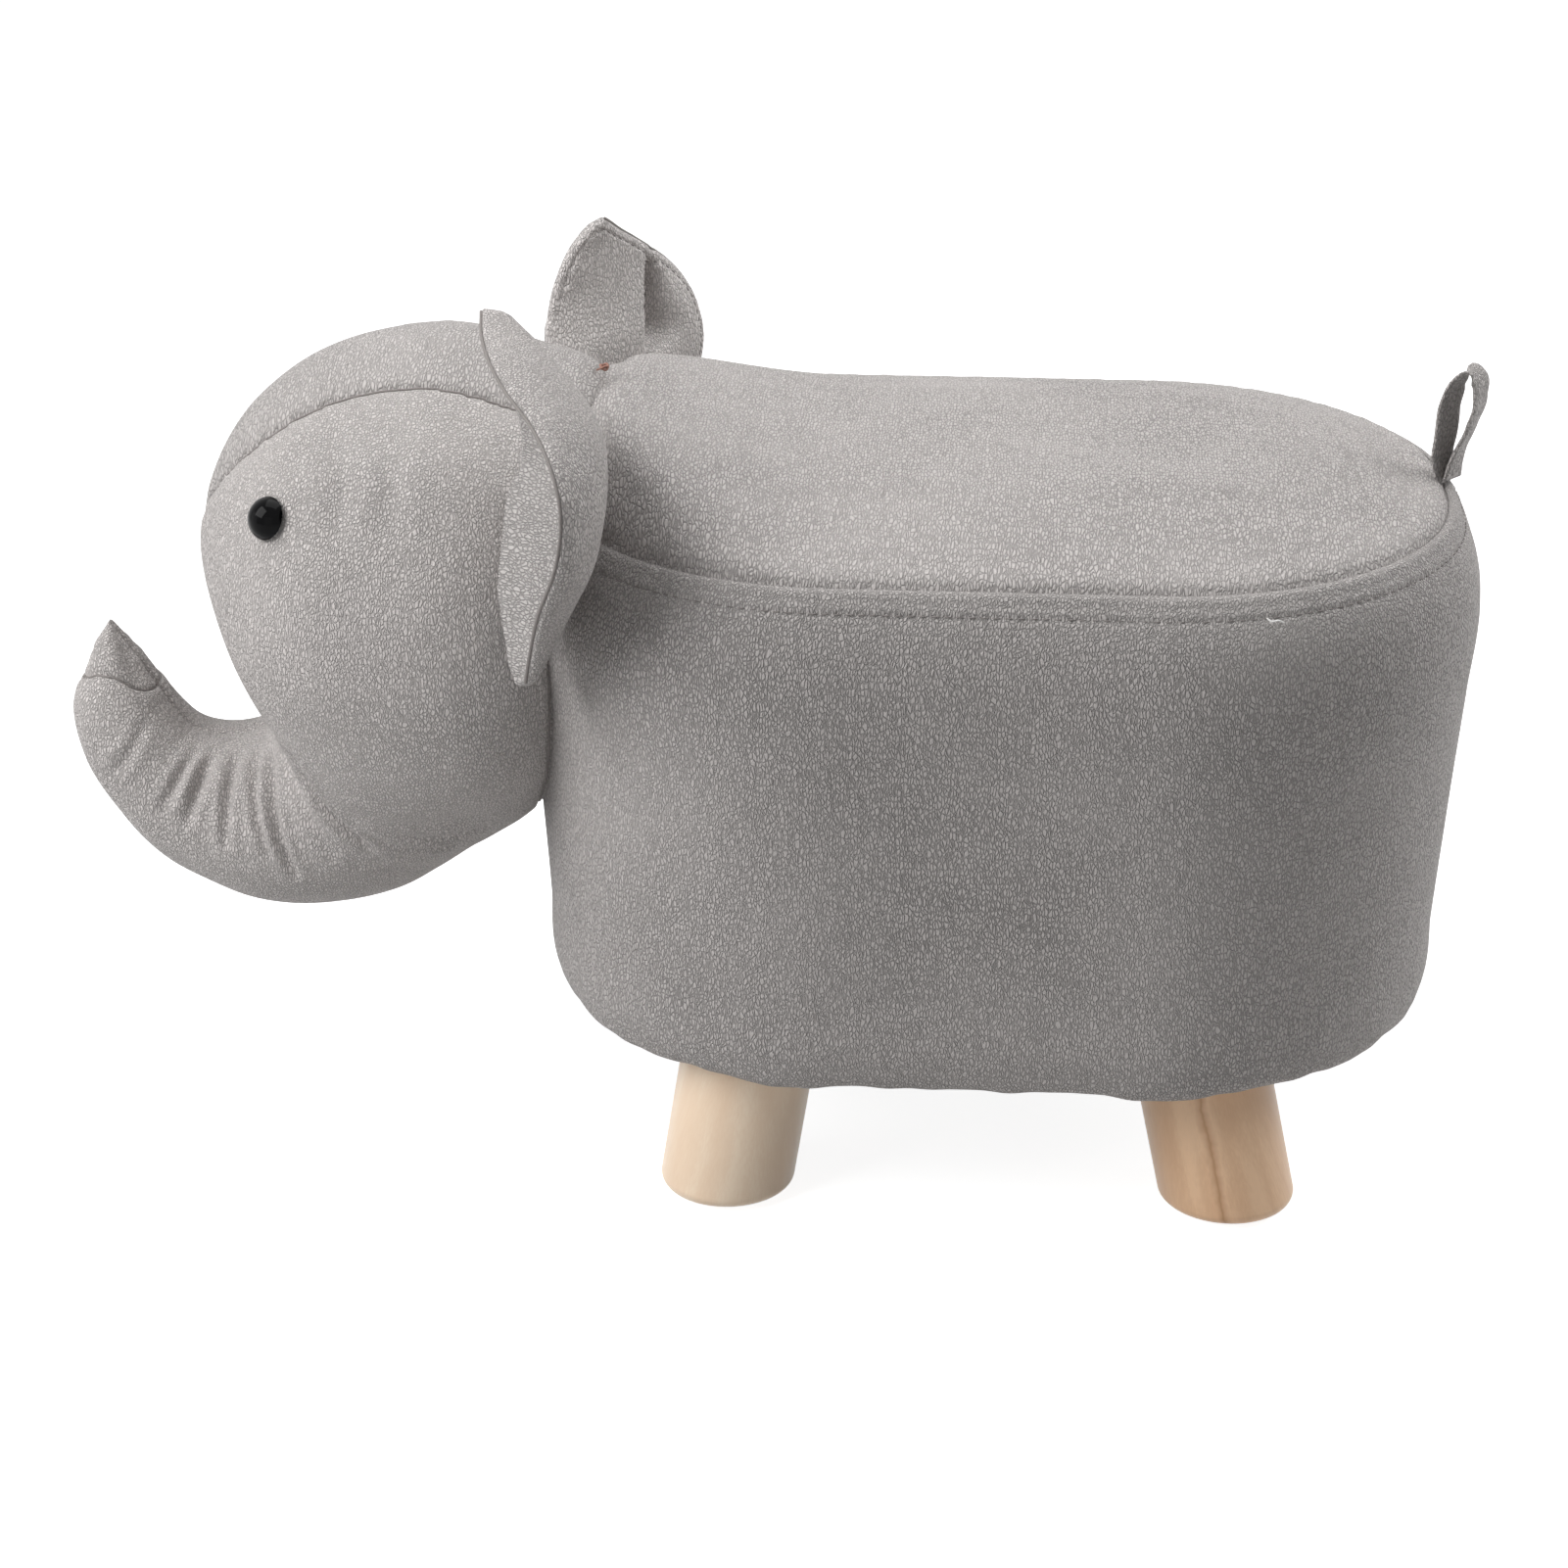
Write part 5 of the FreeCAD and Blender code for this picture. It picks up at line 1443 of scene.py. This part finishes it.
        # a dark cord along the rim stands in for the shade in the seam's groove: painted shade
        way = unit(np.gradient(points, axis=1)[:, -1])
        rim = (front[:, -1] + back[:, -1]) / 2 + way * self.rim_shade_lift
        rows = [cord_mesh(self.placed(rim), self.rim_shade_radius), self.stitched(front, -out, beyond)]
        if self.stitched_back:
            rows.append(self.stitched(back, out, beyond))
        spots, sides = gathered(rows)
        row = piece(self.name + "_stitches", spots, sides, THREAD_AND_SEAM_SHADE)
        self.follow(row)
        log.info("%s: %d points", self.name, 2 * self.rows * self.columns)

    def pillow(self, front: np.ndarray, back: np.ndarray) -> None:
        """Closes the two panels over each other.

        Args:
            front: points of the panel that shows from ahead, in the ear's own frame.
            back: points of the one behind it.
        """
        right = self.side is Side.RIGHT
        grid = Sheet(self.placed(np.concatenate([front, back[:, ::-1]], axis=1)), closed=True, flipped=right)
        faces = grid.faces()
        wide = 2 * self.columns
        marks = [int(index % wide >= self.columns) for index in range(len(faces))]
        for base, over in ((0, True), ((self.rows - 1) * wide, False)):
            for column in range(self.columns - 1):
                face = [base + column, base + column + 1, base + wide - 2 - column, base + wide - 1 - column]
                faces.append(face[::-1] if over != right else face)
        made = piece(self.name + "_skin", grid.points, faces, EAR_FABRIC)
        # the back panel gets its paler copy of the fabric: painted light
        made.data.materials.append(self.back_painted_light_finish.material())
        made.data.polygons.foreach_set("material_index", marks + [0] * (len(faces) - len(marks)))
        self.follow(made)
        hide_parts(self.name + "_front_panel", self.name + "_core", self.name + "_back_panel")

    def stitched(self, face: np.ndarray, out: np.ndarray, beyond: np.ndarray) -> tuple:
        """A row of stitches along the rim of one panel.

        Args:
            face: the panel's points.
            out: the way out of it at each.
            beyond: distance from the rim of each.

        Returns:
            Their points and faces.
        """
        index = np.arange(self.bare_rows, self.rows - self.bare_rows)
        columns = np.arange(self.columns)[::-1]
        place = np.array([np.interp(self.stitch_inset, beyond[row][::-1], columns) for row in index])
        low = np.minimum(np.floor(place).astype(int), self.columns - 2)
        part = (place - low)[:, None]
        line = face[index, low] * (1 - part) + face[index, low + 1] * part
        spots = self.placed(line)
        away = self.placed(line + out[index, low]) - spots
        return stitches(spots, away, self.stitch_pitch, self.stitch_length, self.stitch_radius)


# Tail, thread ends and plain solids


@dataclass
class Tail:
    """Strap folded into a loop and sewn in at the back of the seat."""

    # middle of the strap: x, y, z
    strap: tuple = ((252.0, 7.4, 258.2), (250.9, 7.0, 266.0), (251.3, 7.2, 276.0), (252.4, 7.8, 287.0),
                    (255.0, 8.4, 295.0), (259.0, 8.8, 298.4), (262.4, 8.8, 295.6), (262.9, 8.4, 288.0),
                    (260.6, 7.8, 278.0), (256.6, 7.4, 268.0), (254.6, 7.4, 258.2))
    half_width: float = 7.0
    half_thickness: float = 0.95
    # how square the strap's edges and faces are
    edge_power: float = 0.45
    face_power: float = 0.55
    # its own unevenness: height, run over the whole strap and wave length
    wave: float = 0.35
    wave_run: float = 90.0
    wave_length: float = 16.0
    twist: float = 9.0
    yaw: float = 32.0
    # the strap's foot lies in the seam, between these two places, in metres
    seam_low: tuple = (0.2533, 0.008, 0.2584)
    seam_high: tuple = (0.2533, 0.008, 0.2670)
    rows: int = 120
    columns: int = 22

    def build(self) -> None:
        """Makes the strap."""
        line = smooth_line(self.strap, self.rows)
        way = unit(np.gradient(line, axis=0))
        share = np.linspace(0, 1, self.rows)
        turn = np.radians(self.yaw + self.twist * np.sin(2 * math.pi * share))
        across = np.stack([np.sin(turn), np.cos(turn), np.zeros(self.rows)], axis=1)
        across = unit(across - way * np.sum(across * way, axis=1, keepdims=True))
        out = np.cross(way, across)
        angle = np.arange(self.columns) * 2 * math.pi / self.columns
        wide = np.sign(np.cos(angle)) * np.abs(np.cos(angle)) ** self.edge_power
        thick = np.sign(np.sin(angle)) * np.abs(np.sin(angle)) ** self.face_power
        wave = self.wave * ripple(share * self.wave_run, self.wave_length, 2.0)[:, None] * wide**2
        rings = (line[:, None] + across[:, None] * (wide * self.half_width)[None, :, None]
                 + out[:, None] * (thick * self.half_thickness + wave)[..., None])
        made = piece("tail_strap", *tube(rings), SIDE_FABRIC)
        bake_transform(made)
        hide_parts("tail_loop")
        log.info("tail: strap of %.0f mm", lengths(line)[-1])


@dataclass
class LooseThreads:
    """Thread ends that show: a knot at the neck seam and a cut end under the seat seam."""

    knot: tuple = (-58.5, 0.0, 296.4)
    knot_loops: int = 2
    knot_turn: tuple = (1.4, 1.8, 0.7)
    knot_radius: float = 0.42
    # points of the knot's end and of the cut end, from the knot and from where the cut end comes out
    knot_end: tuple = ((1.4, 0.0, 0.3), (-0.8, -2.2, 0.4), (-2.6, -3.6, 0.1))
    knot_end_radius: float = 0.36
    cut: tuple = (181.5, -127.9, 252.6)
    cut_end: tuple = ((-1.5, 0.6, 0.8), (0.0, -0.4, 0.0), (2.6, -0.9, 0.5), (4.6, -0.5, -0.5))
    cut_radius: float = 0.32

    def build(self) -> None:
        """Makes both."""
        turn = np.linspace(0, 2 * math.pi * self.knot_loops, 70)
        loops = np.stack([np.cos(turn), np.sin(turn), np.sin(1.5 * turn)], axis=1) * self.knot_turn
        loops[:, 2] += self.knot_end[0][2]
        end = smooth_line(self.knot_end, 14)
        points, faces = gathered([cord_mesh(loops + self.knot, self.knot_radius, 7),
                                  cord_mesh(end + self.knot, self.knot_end_radius, 7)])
        knot = piece("neck_thread_knot", points, faces, RED_THREAD)
        line = smooth_line(self.cut_end, 14) + self.cut
        cut = piece("cut_thread_end", *cord_mesh(line, self.cut_radius), PALE_THREAD)
        for thing in (knot, cut):
            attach(thing, BODY)
        log.info("loose threads: knot and cut end")


@dataclass
class Hardware:
    """The solids whose shape is right as it is: legs, pads, eyes and the hidden frame."""

    plain: tuple = (
        (PLYWOOD, ("base_board", "seat_board", "front_cross_rib", "rear_cross_rib", "centre_spine")),
        (HARDBOARD, ("side_wrap",)), (STEEL, ("board_screws", "tee_nuts", "leg_bolts")),
        (EYE_GLOSS, ("eye_left", "eye_right")), (WASHER, ("eye_washer_left", "eye_washer_right")))
    # the legs at each end: splay along the animal, light and dark wood, and where a resin streak runs
    legs: tuple = (("front", -9.0, (0.98, 0.80, 0.61), (0.89, 0.67, 0.48), 0.0),
                   ("rear", 12.5, (0.92, 0.62, 0.39), (0.77, 0.47, 0.27), 0.1828))
    side_splay: float = 7.0

    def dress(self, node: str, finish: Finish) -> None:
        """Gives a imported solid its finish.

        Args:
            node: the solid's name.
            finish: what it is made of.
        """
        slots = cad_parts[node].data.materials
        slots.clear()
        slots.append(finish.material())

    def build(self) -> None:
        """Dresses every solid that stays."""
        for finish, nodes in self.plain:
            for node in nodes:
                self.dress(node, finish)
        for side in Side:
            for end, splay, light, dark, streak in self.legs:
                corner = "%s_%s" % (end, side.word)
                lean = (math.radians(-side.value * self.side_splay), math.radians(-splay), 0.0)
                seed = 3.0 * side.value + splay
                self.dress("leg_" + corner, Pine("pine_" + corner, light, dark, lean, seed, streak))
                self.dress("foot_pad_" + corner, FELT)
        log.info("dressed the frame, the eyes, the legs and their pads")


# Stage


@dataclass
class Stage:
    """Camera, floor and soft lights."""

    azimuth: float = 3.75
    elevation: float = 24.0
    distance: float = 1.445
    target: tuple = (0.0079, 0.0, 0.1303)
    focal_pixels: float = 3826.0
    photo_pixels: float = 1601.0
    sensor: float = 36.0
    far_clip: float = 20.0
    floor_reach: float = 6.0
    floor_glow: float = 0.90
    floor_tone: float = 0.60
    # how strong the world is as a light, where it doesn't show
    sky_light: float = 0.035
    # the point that all lamps look at, and each lamp's name, place in metres, side and watts
    lit: tuple = (0.0, 0.0, 0.17)
    lamps: tuple = (("top_light", (0.05, 0.35, 1.6), 1.3, 12.0),
                    ("high_left_light", (-1.15, -0.65, 1.30), 1.2, 26.0),
                    ("low_left_light", (-1.6, -0.30, 0.40), 1.0, 2.0),
                    ("rear_right_light", (1.3, 0.42, 1.0), 0.9, 12.5),
                    ("front_light", (-0.2, -1.9, 0.6), 1.2, 1.4))

    def aim(self, thing: bpy.types.Object, place: Vector, way: Vector) -> None:
        """Puts a camera or lamp up.

        Args:
            thing: the camera or lamp.
            place: where it goes, in metres.
            way: where it looks.
        """
        thing.location = place
        thing.rotation_mode = "QUATERNION"
        thing.rotation_quaternion = way.to_track_quat("-Z", "Y")

    def camera(self) -> None:
        """Puts the camera where the photograph was taken from."""
        data = bpy.data.cameras.new("photo_camera")
        data.sensor_width = self.sensor
        data.lens = self.focal_pixels * self.sensor / self.photo_pixels
        data.clip_end = self.far_clip
        a, e = math.radians(self.azimuth), math.radians(self.elevation)
        back = Vector((math.sin(a) * math.cos(e), -math.cos(a) * math.cos(e), math.sin(e)))
        eye = linked("photo_camera", data)
        self.aim(eye, Vector(self.target) + back * self.distance, -back)
        bpy.context.scene.camera = eye

    def lamp(self, name: str, place: tuple, size: float, power: float) -> None:
        """A square soft light.

        Args:
            name: of the lamp.
            place: where it hangs, in metres.
            size: of its side.
            power: in watts.
        """
        data = bpy.data.lights.new(name, "AREA")
        data.shape = "SQUARE"
        data.size = size
        data.energy = power
        self.aim(linked(name, data), Vector(place), Vector(self.lit) - Vector(place))

    def seen(self, desk: Tree) -> bpy.types.NodeSocket:
        """One for camera, glossy and transmission rays, nought for all others.

        Args:
            desk: the nodes get written into it.

        Returns:
            The socket with the sum, held at one.
        """
        path = desk.add("ShaderNodeLightPath").outputs
        total = path["Is Camera Ray"]
        for name in ("Is Glossy Ray", "Is Transmission Ray"):
            total = desk.work("ADD", total, path[name], use_clamp=True)
        return total

    def floor(self) -> None:
        """Pale floor that shows white to the camera and keeps the shadow."""
        mesh = bpy.data.meshes.new("studio_floor")
        reach = self.floor_reach
        mesh.from_pydata([(-reach, -reach, 0), (reach, -reach, 0), (reach, reach, 0), (-reach, reach, 0)], [],
                         [(0, 1, 2, 3)])
        thing = linked("studio_floor", mesh)
        made = bpy.data.materials.new("studio_floor")
        desk = Tree(made)
        level = desk.work("MULTIPLY", self.seen(desk), self.floor_glow)
        glow = desk.add("ShaderNodeEmission", Strength=level)
        plain = desk.add("ShaderNodeBsdfDiffuse", Color=(*(self.floor_tone,) * 3, 1.0))
        both = desk.add("ShaderNodeAddShader")
        desk.put(both.inputs[0], glow.outputs[0])
        desk.put(both.inputs[1], plain.outputs[0])
        desk.add("ShaderNodeOutputMaterial", Surface=both.outputs[0])
        mesh.materials.append(made)

    def world(self) -> None:
        """White to the camera and in reflections, dim as a light."""
        sky = bpy.data.worlds.new("studio")
        bpy.context.scene.world = sky
        desk = Tree(sky)
        level = desk.add("ShaderNodeMapRange", Value=self.seen(desk), To_Min=self.sky_light, To_Max=1.0)
        back = desk.add("ShaderNodeBackground", Color=(1.0, 1.0, 1.0, 1.0), Strength=level.outputs[0])
        desk.add("ShaderNodeOutputWorld", Surface=back.outputs[0])

    def build(self) -> None:
        """Sets the whole stage."""
        self.camera()
        self.floor()
        self.world()
        for lamp in self.lamps:
            self.lamp(*lamp)
        bpy.context.scene.view_settings.view_transform = "Standard"


def main() -> None:
    """Builds every piece in order."""
    logging.basicConfig(level=logging.INFO, format="%(name)s %(message)s")
    Stage().build()
    builders = [SideCover(), SeatCover(), Underside(), HeadSkin(), Ear(Side.LEFT, NEAR_BENDS),
                Ear(Side.RIGHT, FAR_BENDS, swing=-10.0, stitched_back=True, pleat=14.0,
                    back_painted_light_finish=PAINTED_LIGHT_EAR_FABRIC), Tail(), LooseThreads(), Hardware()]
    for builder in builders:
        log.info("building %s", type(builder).__name__)
        builder.build()


if __name__ == "__main__":
    main()
